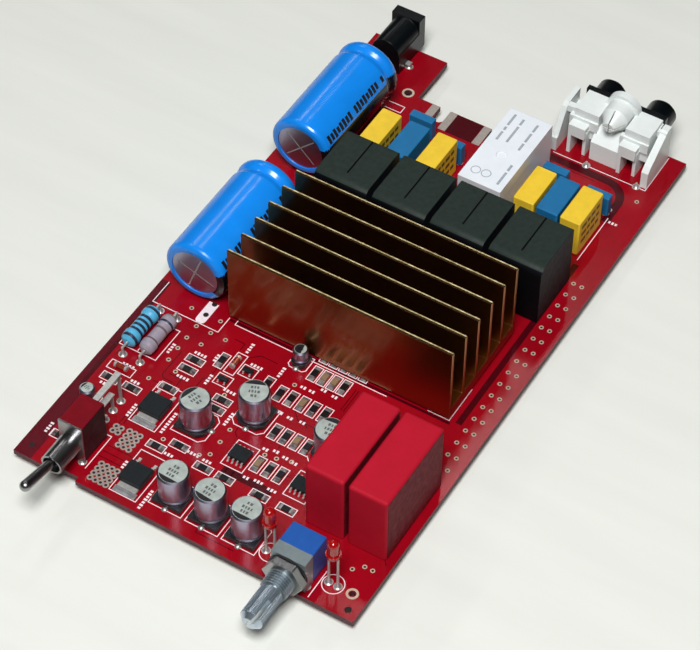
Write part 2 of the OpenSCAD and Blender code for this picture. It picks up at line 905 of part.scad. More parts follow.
module op_amps() {
  color(black)
    on_board()
      for (c = op_amp_c)
        at(c, 0)
          difference() {
            translate([-2.45, -1.95, 0.15])
              cube([4.9, 3.9, 1.45]);
            translate([-1.8, 1.2, 1.5])
              cylinder(r = 0.35, h = 1, $fn = 12);
          }
}

module transistors() {
  color(black)
    on_board()
      for (c = transistor_c)
        at(c, 0)
          translate([-1.45, -0.65, 0.1])
            cube([2.9, 1.3, 1]);
}

module chip_resistors() {
  color(black)
    on_board() {
      for (c = chip_res_along)
        at(c, 90)
          chip_body(0.5);
      for (c = chip_res_across)
        at(c, 0)
          chip_body(0.5);
    }
}

module chip_capacitors() {
  color([0.62, 0.5, 0.36])
    on_board()
      for (c = chip_caps_along)
        at(c, 90)
          chip_body(0.9);
}

module diode_glass() {
  translate([-1.25, 0, 0.78])
    rotate([0, 90, 0])
      cylinder(r = 0.7, h = 2.5, $fn = 12);
}

module glass_diodes() {
  color([0.75, 0.28, 0.12])
    on_board() {
      at(diode_across_c, 0)
        diode_glass();
      at(diode_along_c, 90)
        diode_glass();
    }
}

// Axial resistor: a coated rod with a rounded bulge at both ends
module axial_resistor(i) {
  r = resistor_r[i];
  h = resistor_l / 2;
  translate([resistor_x[i], resistor_y, resistor_z])
    rotate([-90, 0, 0])
      rotate_extrude($fn = 40)
        polygon([
          [0, -h], [r * 0.5, -h], [r * 0.9, 0.7 - h], [r, 1.5 - h], [r, 2.9 - h], [r * 0.88, 3.7 - h],
          [r * 0.88, h - 3.7], [r, h - 2.9], [r, h - 1.5], [r * 0.9, h - 0.7], [r * 0.5, h], [0, h]
        ]);
}

module blue_resistor() {
  color([0.1, 0.5, 0.75])
    on_board()
      axial_resistor(0);
}

module grey_resistor() {
  color([0.62, 0.58, 0.66])
    on_board()
      axial_resistor(1);
}

module switch_body() {
  color(crimson)
    on_board()
      translate([switch_x - switch_w / 2, switch_y, switch_z - switch_h / 2])
        cube([switch_w, switch_body_l, switch_h]);
}

// Front plate of the switch with two legs through the board
module switch_bracket() {
  w = switch_w + 0.2;
  color(steel)
    on_board() {
      difference() {
        translate([switch_x - w / 2, plate_y, switch_z - switch_h / 2])
          cube([w, plate_t, switch_h + 0.2]);
        bar_y(switch_x, switch_z, plate_y - cut, switch_tail_r, plate_t + 2 * cut);
      }
      for (p = switch_legs)
        translate([p[0] - 0.4, plate_y, -board_t])
          cube([0.8, plate_t, board_t + switch_z - switch_h / 2 + cut]);
    }
}

module pivot_pin(r, reach) {
  rotate([0, 90, 0])
    translate([0, 0, -reach])
      cylinder(r = r, h = 2 * reach, $fn = 24);
}

// Bush with a ball seat inside and a wider mouth for the swing of the lever
module switch_bush() {
  color(steel)
    on_board()
      difference() {
        union() {
          bar_y(switch_x, switch_z, mouth_y, switch_bush_r, switch_bush_l);
          bar_y(switch_x, switch_z, plate_y - cut, switch_tail_r, plate_t + cut);
        }
        bar_y(switch_x, switch_z, pivot_y - 0.6, ball_r + running_gap, switch_y - pivot_y + 0.6 + cut);
        bar_y(switch_x, switch_z, mouth_y - cut, mouth_r, pivot_y - mouth_y - 0.5 + cut);
        translate([switch_x, pivot_y, switch_z])
          pivot_pin(pivot_pin_r + running_gap, pivot_pin_reach + running_gap);
      }
}

// Bat lever on its ball and pivot pin, leaning up at rest
module switch_lever() {
  color(steel)
    on_board()
      translate([switch_x, pivot_y, switch_z])
        rotate([-lever_tilt, 0, 0]) {
          sphere(r = ball_r, $fn = 40);
          pivot_pin(pivot_pin_r, pivot_pin_reach);
          rotate([90, 0, 0])
            cylinder(r1 = lever_root_r, r2 = lever_tip_r, h = lever_l, $fn = 40);
          translate([0, -lever_l, 0])
            sphere(r = lever_tip_r, $fn = 40);
          rotate([-90, 0, 0])
            cylinder(r = 0.8, h = 2.9, $fn = 24);
        }
}

// Three blades, one above the other, each bent down to its own pad
module switch_terminals() {
  y0 = switch_y + switch_body_l;
  x0 = terminal_feet[0][0];
  color(tin)
    on_board()
      for (i = [0:2]) {
        z = switch_z + (i - 1) * terminal_rise;
        y1 = terminal_feet[i][1];
        translate([x0 - terminal_w / 2, y0, z - terminal_t / 2])
          cube([terminal_w, y1 - y0 + terminal_t / 2, terminal_t]);
        translate([x0 - 0.4, y1 - terminal_t / 2, -board_t])
          cube([0.8, terminal_t, board_t + z]);
      }
}

module volume_housing() {
  color([0.05, 0.17, 0.6])
    on_board()
      translate([volume_x - volume_w / 2, volume_y + volume_front_l, seat])
        cube([volume_w, volume_rear_l, volume_h]);
}

// Metal front with its threaded bush and a bore for the shaft and its collar
module volume_front() {
  color(steel)
    on_board()
      difference() {
        union() {
          translate([volume_x - volume_w / 2, volume_y, seat])
            cube([volume_w, volume_front_l, volume_h]);
          bar_y(volume_x, volume_z, volume_y - volume_bush_l, volume_bush_r, thread_l);
          bar_y(
            volume_x, volume_z, volume_y - washer_t - nut_t - cut,
            volume_core_r, washer_t + nut_t + 2 * cut
          );
        }
        bar_y(
          volume_x, volume_z, volume_y - volume_bush_l - cut,
          journal_r + slide_gap, volume_bush_l + volume_front_l + 2 * cut
        );
        bar_y(
          volume_x, volume_z, volume_y + volume_front_l - shaft_collar_l - 0.6,
          shaft_collar_r + 0.3, shaft_collar_l + 1
        );
      }
}

module volume_washer() {
  color([0.12, 0.12, 0.13])
    on_board()
      difference() {
        bar_y(volume_x, volume_z, volume_y - washer_t, washer_r, washer_t);
        bar_y(volume_x, volume_z, volume_y - washer_t - cut, volume_core_r + slide_gap, washer_t + 2 * cut);
      }
}

module volume_nut() {
  color(steel)
    on_board()
      difference() {
        translate([volume_x, volume_y - washer_t - nut_t, volume_z])
          rotate([-90, 0, 0])
            cylinder(r = nut_af / sqrt(3), h = nut_t, $fn = 6);
        bar_y(
          volume_x, volume_z, volume_y - washer_t - nut_t - cut,
          volume_core_r + slide_gap, nut_t + 2 * cut
        );
      }
}

// Shaft with a collar inside the front, a chamfered tip and a split end
module volume_shaft() {
  collar_y = volume_y + volume_front_l - shaft_collar_l - 0.3;
  knurl_end = volume_y - volume_bush_l - knurl_gap;
  knurl_l = knurl_end + shaft_reach - shaft_chamfer;
  color(steel)
    on_board()
      difference() {
        union() {
          bar_y(volume_x, volume_z, shaft_chamfer - shaft_reach, shaft_r, knurl_l);
          bar_y(volume_x, volume_z, knurl_end - cut, journal_r, collar_y - knurl_end + 2 * cut);
          translate([volume_x, -shaft_reach, volume_z])
            rotate([-90, 0, 0])
              cylinder(r1 = shaft_r - shaft_chamfer, r2 = shaft_r, h = shaft_chamfer, $fn = 48);
          bar_y(volume_x, volume_z, collar_y, shaft_collar_r, shaft_collar_l);
        }
        translate([volume_x, -shaft_reach, volume_z])
          rotate([0, 35, 0])
            translate([-shaft_slot_w / 2, -cut, -shaft_r - cut])
              cube([shaft_slot_w, shaft_slot_d + cut, shaft_d + 2 * cut]);
      }
}

module indicator_lamps() {
  z0 = lamp_top - lamp_len;
  color([0.85, 0.05, 0.03])
    on_board()
      for (c = lamp_c)
        translate([c[0], c[1], z0]) {
          cylinder(r = lamp_rim_r, h = 1, $fn = 32);
          cylinder(r = lamp_r, h = lamp_len - lamp_r, $fn = 32);
          translate([0, 0, lamp_len - lamp_r])
            sphere(r = lamp_r, $fn = 32);
        }
}

// Barrel socket with a square flange behind the board edge
module power_socket() {
  y1 = board_l + power_over;
  color(black)
    on_board()
      difference() {
        union() {
          translate([power_x - power_w / 2, y1 - power_flange_t, 0])
            cube([power_w, power_flange_t, power_h]);
          translate([power_x - power_w / 2, power_y, 0])
            cube([power_w, y1 - power_y - 1, power_z]);
          bar_y(power_x, power_z, power_y, power_w / 2 - 0.2, y1 - power_y - 1);
        }
        bar_y(power_x, power_z, y1 - power_bore_l, power_bore_r, power_bore_l + cut);
      }
}

// One jack frame: top block, lower step and two legs that leave the pins open
module phono_frame(x) {
  y = phono_y;
  translate([x - 3.5, y + 4.6, phono_block_z])
    cube([7.2, 8, 9.4]);
  translate([x - 4.7, y + 4, 8.2])
    cube([8.4, 1.4, 3.2]);
  translate([x - 3.6, y + 1.4, 6.6])
    cube([5, 4, 3.8]);
  translate([x - 3.6, y + 1.4, 0])
    cube([1, 4.4, 7]);
  translate([x + 0.6, y + 2.4, 0])
    cube([0.9, 9, 8.4]);
  translate([x - 4, y + 10.6, 0])
    cube([8, 2, 12.8]);
}

// A moulded piece with one side outline, t wide along X
module phono_slab(x, t, outline) {
  translate([x, phono_y, 0])
    rotate([90, 0, 90])
      linear_extrude(height = t)
        polygon(outline);
}

// White saddle that carries both sockets and a split screw boss between them
module phono_housing() {
  y = phono_y;
  x0 = phono_x - phono_left;
  color(white)
    on_board()
      difference() {
        union() {
          for (x = phono_c)
            phono_frame(x);
          phono_slab(
            x0, phono_left_t,
            [[0, 0], [12.6, 0], [12.6, 13.4], [6.2, 13.4], [5, 12.4], [0.8, 4.6], [0, 4.6]]
          );
          phono_slab(
            phono_x + phono_right - phono_right_t, phono_right_t,
            [[0, 0], [12.6, 0], [12.6, 13], [10.4, 13], [1.4, 7], [0, 5.6]]
          );
          phono_slab(
            phono_x - saddle_w / 2, saddle_w,
            [[2.2, 0], [4.6, 0], [4.6, 4.8], [11, 4.8], [11, 9.6], [6.2, 9.6], [2.2, 6.4]]
          );
          translate([x0, y + 5.4, 10.6])
            cube([phono_left - phono_pitch / 2, 1.8, 2.2]);
          translate([phono_x, y + 9.4, 10.6])
            cube([phono_right, 1.2, 2]);
          translate([x0, y + 10.8, 0])
            cube([phono_w, 1.8, 9]);
          bar_y(phono_x, boss_z, y + 6.2, boss_r, 6.4);
          translate([phono_x, y + 6.2 - boss_nose_l, boss_z])
            rotate([-90, 0, 0])
              cylinder(r1 = boss_tip_r, r2 = boss_r, h = boss_nose_l + cut, $fn = 40);
          bar_y(phono_x, boss_z, y + 10.4, boss_r + boss_rim, 2.2);
          translate([phono_x - 2.2, y + 10.8, 7])
            cube([4.4, 1.8, 4]);
        }
        bar_y(phono_x, boss_z, y + 5.6, 1.3, 10);
        for (a = [0, 90])
          translate([phono_x, y + 6.2 - boss_nose_l - cut, boss_z])
            rotate([0, a, 0])
              translate([-0.2, 0, -boss_r - cut])
                cube([0.4, boss_nose_l - 0.2, 2 * boss_r + 2 * cut]);
      }
}

// Black flange with its round-nosed barrel
module phono_barrel(i) {
  x = phono_c[i];
  y0 = board_l - phono_flange_t;
  y1 = board_l + phono_reach;
  nose = 1.2;
  color(black)
    on_board()
      difference() {
        union() {
          translate([x - 4.3, y0, 1.6])
            cube([8.6, phono_flange_t, 12.6]);
          bar_y(x, phono_z, y0 + 1, phono_r, y1 - y0 - 1 - nose);
          translate([x, y1 - nose, phono_z])
            rotate([-90, 0, 0])
              cylinder(r1 = phono_r, r2 = phono_r - nose, h = nose, $fn = 48);
        }
        bar_y(x, phono_z, y0 - cut, phono_hole_r, y1 - y0 + 2 * cut);
      }
}

module socket_contacts() {
  y0 = board_l - phono_flange_t;
  y1 = board_l + power_over;
  color(tin)
    on_board() {
      bar_y(power_x, power_z, y1 - power_bore_l, power_pin_r, power_bore_l - 1);
      for (p = [power_leads[0], power_leads[1]])
        pin(p, 0);
      pin(power_leads[2], 1.2);
      translate([power_x + power_w / 2, power_leads[2][1] - 0.8, 1])
        cube([power_lug_out + 0.5, 1.6, 0.4]);
      for (x = phono_c)
        difference() {
          bar_y(x, phono_z, y0, phono_hole_r, phono_reach - 0.4);
          bar_y(x, phono_z, y0 + 0.6, phono_hole_r - 0.35, phono_reach);
        }
      for (p = phono_leads)
        pin(p, 1.4);
      for (p = phono_earths)
        pin(p, phono_block_z);
    }
}

circuit_board();
solder_joints();
component_leads();
surface_mount_leads();
heatsink();
heatsink_screws();
amplifier_chip();
reservoir_can(0);  // reservoir_can_1
reservoir_can(1);  // reservoir_can_2
reservoir_sleeve(0);  // reservoir_sleeve_1
reservoir_sleeve(1);  // reservoir_sleeve_2
reservoir_bungs();
inductor(0);  // inductor_1
inductor(1);  // inductor_2
inductor(2);  // inductor_3
inductor(3);  // inductor_4
relay_cover();
relay_base();
relay_coil();
yellow_film_capacitor(0);  // yellow_film_capacitor_1
yellow_film_capacitor(1);  // yellow_film_capacitor_2
yellow_film_capacitor(2);  // yellow_film_capacitor_3
yellow_film_capacitor(3);  // yellow_film_capacitor_4
blue_film_capacitor(0);  // blue_film_capacitor_1
blue_film_capacitor(1);  // blue_film_capacitor_2
small_film_capacitors();
input_capacitor(0);  // input_capacitor_1
input_capacitor(1);  // input_capacitor_2
electrolytic(0);  // electrolytic_1
electrolytic(1);  // electrolytic_2
electrolytic(2);  // electrolytic_3
electrolytic(3);  // electrolytic_4
electrolytic(4);  // electrolytic_5
electrolytic(5);  // electrolytic_6
small_electrolytics();
electrolytic_bases();
regulators();
op_amps();
transistors();
chip_resistors();
chip_capacitors();
glass_diodes();
blue_resistor();
grey_resistor();
switch_body();
switch_bracket();
switch_bush();
switch_lever();
switch_terminals();
volume_housing();
volume_front();
volume_washer();
volume_nut();
volume_shaft();
indicator_lamps();
power_socket();
phono_housing();
phono_barrel(0);  // phono_barrel_1
phono_barrel(1);  // phono_barrel_2
socket_contacts();
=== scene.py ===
"""Looks of the audio amplifier board: finishes, printed outlines, solder and small moulded detail."""

import json
import math

import bmesh
import bpy
from mathutils import Matrix, Vector

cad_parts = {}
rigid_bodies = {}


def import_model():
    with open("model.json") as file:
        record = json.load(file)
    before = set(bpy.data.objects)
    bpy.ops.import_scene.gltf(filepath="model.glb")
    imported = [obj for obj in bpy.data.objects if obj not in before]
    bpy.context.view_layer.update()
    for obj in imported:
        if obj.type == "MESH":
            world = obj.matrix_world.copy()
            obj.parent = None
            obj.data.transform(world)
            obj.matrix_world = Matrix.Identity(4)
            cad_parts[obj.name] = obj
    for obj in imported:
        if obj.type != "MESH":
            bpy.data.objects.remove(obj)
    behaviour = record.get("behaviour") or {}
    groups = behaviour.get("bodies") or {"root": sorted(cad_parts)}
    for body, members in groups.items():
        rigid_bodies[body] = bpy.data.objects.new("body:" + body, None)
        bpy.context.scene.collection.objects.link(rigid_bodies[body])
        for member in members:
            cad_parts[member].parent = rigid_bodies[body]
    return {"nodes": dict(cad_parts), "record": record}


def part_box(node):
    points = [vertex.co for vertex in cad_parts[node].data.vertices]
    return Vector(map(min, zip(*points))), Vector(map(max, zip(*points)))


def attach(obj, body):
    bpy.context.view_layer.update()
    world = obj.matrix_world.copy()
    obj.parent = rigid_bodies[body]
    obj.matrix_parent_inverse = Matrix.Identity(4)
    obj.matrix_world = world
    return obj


for startup_object in list(bpy.data.objects):
    bpy.data.objects.remove(startup_object)

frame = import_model()
bpy.context.view_layer.update()
nodes = frame["nodes"]

MM = 0.001
board_low, board_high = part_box("circuit_board")
BOARD_CORNER = Vector((board_low.x, board_low.y, board_high.z))
BOARD_T = (board_high.z - board_low.z) / MM

# Heights of the thin layers on the board, in millimetres above its top face
GAP_LAYER = (0.004, 0.012)
PAD_LAYER = (0.008, 0.045)
PRINT_LAYER = (0.008, 0.035)
UNDER_LAYER = (-BOARD_T - 0.045, -BOARD_T - 0.008)
HOLE_LAYER = (0.004, 0.02)
UNDER_HOLE_LAYER = (-BOARD_T - 0.02, -BOARD_T - 0.004)
OPEN_HOLE_LAYER = (0.01, 0.045)
PRINT_W = 0.23


def at(x, y, z=0.0):
    """A point given in board millimetres: from the left edge, the front edge and the top face."""
    return BOARD_CORNER + Vector((x, y, z)) * MM


def to_board(p):
    """A point of the frame in board millimetres."""
    return (Vector(p) - BOARD_CORNER) / MM


def islands(node):
    """Low and high corners of each separate solid in a CAD node, in board millimetres."""
    mesh = nodes[node].data
    index_of = {}
    vertex_group = []
    for v in mesh.vertices:
        key = tuple(round(c * 1e7) for c in v.co)
        vertex_group.append(index_of.setdefault(key, len(index_of)))
    parent = list(range(len(index_of)))

    def root(i):
        while parent[i] != i:
            parent[i] = parent[parent[i]]
            i = parent[i]
        return i

    for edge in mesh.edges:
        a, b = (root(vertex_group[v]) for v in edge.vertices)
        parent[a] = b
    boxes = {}
    for v in mesh.vertices:
        p = to_board(v.co)
        low, high = boxes.setdefault(root(vertex_group[v.index]), (p.copy(), p.copy()))
        for axis in range(3):
            low[axis] = min(low[axis], p[axis])
            high[axis] = max(high[axis], p[axis])
    return sorted(boxes.values(), key=lambda pair: (round(pair[0].x, 3), round(pair[0].y, 3)))


def middle(pair):
    """Middle of a box given by its low and high corners."""
    return (pair[0] + pair[1]) / 2


# Materials

def srgb(r, g, b):
    """A colour written as 0 to 255 screen values, turned to linear light."""
    def linear(c):
        c /= 255
        return c / 12.92 if c <= 0.04045 else ((c + 0.055) / 1.055) ** 2.4
    return (linear(r), linear(g), linear(b), 1.0)


def shade(colour, factor):
    """A colour made lighter or darker."""
    return tuple(min(1.0, c * factor) for c in colour[:3]) + (1.0,)


def noise(tree, cell, stretch=(1, 1, 1), detail=3.0):
    """Noise with features about cell millimetres across, longer along an axis with a small stretch."""
    coords = tree.nodes.new("ShaderNodeTexCoord")
    mapping = tree.nodes.new("ShaderNodeMapping")
    mapping.inputs["Scale"].default_value = stretch
    texture = tree.nodes.new("ShaderNodeTexNoise")
    texture.inputs["Scale"].default_value = 1 / (cell * MM)
    texture.inputs["Detail"].default_value = detail
    tree.links.new(coords.outputs["Object"], mapping.inputs["Vector"])
    tree.links.new(mapping.outputs["Vector"], texture.inputs["Vector"])
    return texture.outputs["Fac"]


def map_range(tree, value, low, high, to_low, to_high):
    """A value carried from one range to another, kept inside it."""
    node = tree.nodes.new("ShaderNodeMapRange")
    node.inputs["From Min"].default_value = low
    node.inputs["From Max"].default_value = high
    node.inputs["To Min"].default_value = to_low
    node.inputs["To Max"].default_value = to_high
    tree.links.new(value, node.inputs["Value"])
    return node.outputs["Result"]


def mix(tree, factor, a, b):
    """Blend of two colours, each a plain colour or a socket."""
    node = tree.nodes.new("ShaderNodeMix")
    node.data_type = "RGBA"
    tree.links.new(factor, node.inputs["Factor"])
    for value, socket in ((a, node.inputs[6]), (b, node.inputs[7])):
        if isinstance(value, tuple):
            socket.default_value = value
        else:
            tree.links.new(value, socket)
    return node.outputs[2]


def edge_mask(tree, width):
    """Near 1 along sharp edges, falling to 0 over width millimetres."""
    bevel = tree.nodes.new("ShaderNodeBevel")
    bevel.samples = 4
    bevel.inputs["Radius"].default_value = width * MM
    geometry = tree.nodes.new("ShaderNodeNewGeometry")
    dot = tree.nodes.new("ShaderNodeVectorMath")
    dot.operation = "DOT_PRODUCT"
    tree.links.new(bevel.outputs["Normal"], dot.inputs[0])
    tree.links.new(geometry.outputs["Normal"], dot.inputs[1])
    return map_range(tree, dot.outputs["Value"], 0.995, 0.85, 0.0, 1.0)


def finish(
    name, colour, rough, metal=0.0, vary=0.12, cell=2.0, stretch=(1, 1, 1), other=None,
    bump=0.01, bump_cell=0.25, gloss=0.5, coat=0.0, clear=0.0, edge=None, edge_w=0.25,
):
    """A surface with drifting colour and gloss, a fine grain and, if asked, edges of another colour: worn
    edges, and on the heatsink partly a painted highlight.
    """
    material = bpy.data.materials.new(name)
    material.use_nodes = True
    tree = material.node_tree
    shader = tree.nodes["Principled BSDF"]
    drift = noise(tree, cell, stretch)
    spread = map_range(tree, drift, 0.3, 0.7, 0.0, 1.0)
    paint = mix(tree, spread, shade(colour, 1 - vary), other or shade(colour, 1 + vary))
    if edge:
        paint = mix(tree, edge_mask(tree, edge_w), paint, edge)
    tree.links.new(paint, shader.inputs["Base Color"])
    tree.links.new(map_range(tree, drift, 0.3, 0.7, rough * 1.08, rough * 0.92), shader.inputs["Roughness"])
    shader.inputs["Metallic"].default_value = metal
    shader.inputs["Specular IOR Level"].default_value = gloss
    shader.inputs["Coat Weight"].default_value = coat
    shader.inputs["Coat Roughness"].default_value = 0.12
    shader.inputs["Transmission Weight"].default_value = clear
    grain = tree.nodes.new("ShaderNodeBump")
    grain.inputs["Distance"].default_value = bump * MM
    grain.inputs["Strength"].default_value = 0.6
    tree.links.new(noise(tree, bump_cell, stretch, detail=2.0), grain.inputs["Height"])
    tree.links.new(grain.outputs["Normal"], shader.inputs["Normal"])
    return material


RED = srgb(144, 5, 22)
DEEP_RED = srgb(68, 3, 13)
TIN = srgb(204, 203, 200)
LOOKS = {
    "red_solder_mask": dict(
        colour=RED, rough=0.2, gloss=0.32,
        vary=0.1, cell=9, bump=0.002, bump_cell=1.2,
    ),
    "solder": dict(colour=TIN, rough=0.31, metal=0.8, cell=0.9, bump=0.01, bump_cell=1.2),
    "tinned_lead": dict(
        colour=srgb(196, 194, 190), rough=0.38, metal=0.55,
        cell=0.9, bump=0.004, bump_cell=1,
    ),
    # Paler heatsink edges: partly wear, partly painted highlight.
    "gold_anodised": dict(
        colour=srgb(150, 100, 50), rough=0.31, metal=1,
        vary=0.05, cell=12, bump=0, coat=0.4, edge=srgb(206, 176, 112), edge_w=0.12,
    ),
    "zinc_screw": dict(colour=srgb(190, 192, 195), rough=0.32, metal=1, cell=0.8, bump=0.001),
    "black_epoxy": dict(
        colour=srgb(18, 24, 28), rough=0.46, gloss=0.3,
        vary=0.2, cell=0.5, bump=0.012, bump_cell=0.12,
    ),
    "can_aluminium": dict(
        colour=srgb(170, 168, 188), rough=0.32, metal=1,
        vary=0.05, cell=7, bump=0.002, bump_cell=4,
    ),
    "blue_sleeve": dict(
        colour=srgb(20, 136, 236), rough=0.22,
        vary=0.06, cell=7, bump=0.004, bump_cell=3,
    ),
    "black_rubber": dict(colour=srgb(28, 28, 28), rough=0.7, cell=1.0, bump=0.02),
    "black_ferrite": dict(
        colour=srgb(33, 44, 39), rough=0.55, gloss=0.25,
        vary=0.14, cell=1.4, bump=0.012, bump_cell=0.5, edge=srgb(22, 27, 25), edge_w=0.3,
    ),
    "relay_white": dict(colour=srgb(228, 234, 240), rough=0.36, vary=0.03, cell=4, bump=0.004),
    "relay_base_black": dict(colour=srgb(36, 36, 38), rough=0.5, cell=1.0),
    "coil_copper": dict(colour=srgb(150, 82, 44), rough=0.35, metal=1, cell=0.4),
    "yellow_box": dict(
        colour=srgb(234, 196, 52), rough=0.4, gloss=0.3,
        vary=0.05, cell=2.5, bump=0.006, edge=srgb(244, 214, 104),
    ),
    "blue_box": dict(
        colour=srgb(26, 106, 156), rough=0.4, gloss=0.3,
        vary=0.07, cell=2.5, bump=0.006, edge=srgb(54, 132, 180),
    ),
    "crimson_box": dict(
        colour=srgb(174, 18, 40), rough=0.55, gloss=0.14,
        vary=0.05, cell=6, bump=0.008, bump_cell=0.5,
    ),
    "base_black": dict(colour=srgb(18, 18, 22), rough=0.4, cell=0.8, edge=srgb(44, 44, 48), edge_w=0.12),
    "chip_black": dict(colour=srgb(17, 17, 20), rough=0.4, gloss=0.35, vary=0.25, cell=0.9, bump=0.006),
    "chip_tan": dict(colour=srgb(132, 108, 82), rough=0.45, vary=0.1, cell=0.9),
    "diode_glass": dict(colour=srgb(128, 44, 26), rough=0.12, vary=0.35, cell=0.8, coat=0.5),
    "resistor_blue": dict(
        colour=srgb(84, 172, 212), rough=0.3,
        vary=0.08, cell=1.6, bump=0.02, bump_cell=0.6,
    ),
    "resistor_grey": dict(
        colour=srgb(152, 143, 156), rough=0.34,
        vary=0.08, cell=1.6, bump=0.02, bump_cell=0.6,
    ),
    "switch_red": dict(colour=srgb(114, 6, 22), rough=0.45, gloss=0.12, vary=0.1, cell=2.2, bump=0.012),
    "bright_steel": dict(
        colour=srgb(144, 144, 145), rough=0.3, metal=1,
        vary=0.05, cell=2.5, bump=0, coat=0.8,
    ),
    "control_blue": dict(
        colour=srgb(22, 80, 158), rough=0.38, gloss=0.3,
        vary=0.07, cell=2.2, bump=0.008,
    ),
    "control_steel": dict(
        colour=srgb(184, 198, 210), rough=0.32, metal=0.9,
        vary=0.06, cell=3, bump=0.001, bump_cell=3, coat=0.8,
    ),
    "black_steel": dict(colour=srgb(26, 26, 29), rough=0.45, vary=0.15, cell=0.8, bump=0.001),
    "lamp_red": dict(colour=srgb(186, 18, 18), rough=0.12, vary=0.06, cell=1.2, clear=0.35, coat=0.4),
    "socket_black": dict(
        colour=srgb(6, 10, 13), rough=0.3, gloss=0.3,
        vary=0.2, cell=1.6, edge=srgb(26, 30, 33),
    ),
    "socket_white": dict(colour=srgb(226, 232, 230), rough=0.34, vary=0.03, cell=2.5, bump=0.006),
}
FINISHES = {name: finish(name, **look) for name, look in LOOKS.items()}
BOARD_EDGE = finish(
    "board_edge", srgb(84, 44, 52), 0.6,
    vary=0.25, cell=0.5, stretch=(0.2, 0.2, 1), bump=0.03,
)
BARE_LAMINATE = finish(
    "bare_laminate", DEEP_RED, 0.22, gloss=0.32,
    vary=0.12, cell=3, bump=0.002, bump_cell=1.2,
)
EDGE_RED = finish(
    "edge_red", srgb(86, 3, 20), 0.24, gloss=0.3,
    vary=0.1, cell=3, bump=0.002, bump_cell=1.2,
)
CAN_TOP = finish("can_top", srgb(178, 187, 182), 0.5, metal=0.35, vary=0.16, cell=2.4, bump=0.004)
# Fin tops darker than the anodised sides: painted shade.
FIN_TOP_SHADE = finish("fin_top_painted_shade", srgb(58, 42, 18), 0.34, metal=0.8, vary=0.2, cell=2, bump=0.002, bump_cell=1)
# Bright line at the rear edge of each fin top: painted highlight.
FIN_EDGE_HIGHLIGHT = finish(
    "fin_edge_painted_highlight", srgb(176, 148, 92), 0.4, metal=0.3,
    vary=0.2, cell=1.5, other=srgb(236, 220, 170), bump=0.004,
)
PAD_SOLDER = finish(
    "pad_solder", srgb(150, 150, 152), 0.36, metal=0.5,
    vary=0.35, cell=1.6, bump=0.01, bump_cell=1,
)
SLEEVE_BLACK = finish("sleeve_black", srgb(10, 12, 18), 0.2, vary=0.2, cell=4, bump=0.006, bump_cell=1.8)
# Relay sides paler than the top: painted light, with some see-through.
RELAY_PAINTED_LIGHT_SIDE = finish("relay_side_painted_light", srgb(246, 244, 247), 0.3, vary=0.03, cell=3, bump=0.004, clear=0.2)
PLATED_GREY = finish(
    "plated_grey", srgb(130, 143, 146), 0.42, metal=0.5,
    vary=0.06, cell=1.6, bump=0.002, bump_cell=1.5, coat=0.4,
)
THREAD_GREY = finish(
    "thread_grey", srgb(112, 126, 142), 0.34, metal=0.9,
    vary=0.06, cell=1.6, bump=0.001, coat=0.8,
)
# Darker right and rear faces of the crimson capacitors: painted shade, with a coarser blotchy grain.
CRIMSON_SHADED_SIDE = finish(
    "crimson_side_painted_shade", srgb(112, 8, 24), 0.6, gloss=0.12,
    vary=0.16, cell=1.8, other=srgb(124, 30, 42), bump=0.03, bump_cell=0.8,
)
# Inductor sides darker than their tops: painted shade.
FERRITE_SHADED_SIDE = finish(
    "ferrite_side_painted_shade", srgb(16, 20, 24), 0.6, gloss=0.16,
    vary=0.2, cell=1.6, bump=0.012, bump_cell=0.5,
)
# Near black inductor fronts behind the heatsink: painted shade.
FERRITE_SHADED_FRONT = finish(
    "ferrite_front_painted_shade", srgb(5, 6, 9), 0.6, gloss=0.1,
    vary=0.2, cell=1.6, bump=0.012, bump_cell=0.5,
)
# Darker right face of the switch body: painted shade.
SWITCH_SHADED_SIDE = finish("switch_side_painted_shade", srgb(52, 14, 20), 0.5, gloss=0.2, vary=0.2, cell=2.2, bump=0.01)
CHIP_END = finish(
    "chip_end", srgb(96, 92, 92), 0.34, metal=0.5,
    vary=0.4, cell=1.3, other=srgb(176, 172, 170), bump=0.006,
)
# Dark inside the slot on each inductor top: painted shade.
SLOT_SHADE = finish("slot_painted_shade", srgb(9, 11, 11), 0.6, gloss=0.2, vary=0.2, cell=1)
VIA_RING = finish("via_ring", srgb(206, 190, 170), 0.45, metal=0.3, vary=0.12, cell=0.8, bump=0.006)
LAND_GREY = finish("land_grey", srgb(176, 166, 158), 0.5, metal=0.4, vary=0.1, cell=0.6, bump=0.008)
WHITE_PRINT = finish("white_print", srgb(236, 222, 226), 0.5, vary=0.06, cell=0.6, bump=0.006)
DARK_PRINT = finish("dark_print", srgb(20, 20, 25), 0.5, vary=0.2, cell=0.5)
FAINT_PRINT = finish("faint_print", srgb(86, 92, 90), 0.55, vary=0.15, cell=0.4)
GREY_PRINT = finish("grey_print", srgb(160, 166, 174), 0.5, vary=0.1, cell=0.6)
MUSTARD_PRINT = finish("mustard_print", srgb(96, 76, 26), 0.5, vary=0.15, cell=0.5)
# Dark discs where the holes are: painted shade.
HOLE_SHADE = finish("hole_painted_shade", srgb(24, 8, 8), 0.7, vary=0.2, cell=0.5)
BAND_GREEN = finish("band_green", srgb(70, 112, 78), 0.34, cell=0.8)
BAND_NAVY = finish("band_navy", srgb(38, 44, 66), 0.34, cell=0.8)
BAND_BROWN = finish("band_brown", srgb(104, 84, 88), 0.34, cell=0.8)


# Mesh builders, all in board millimetres

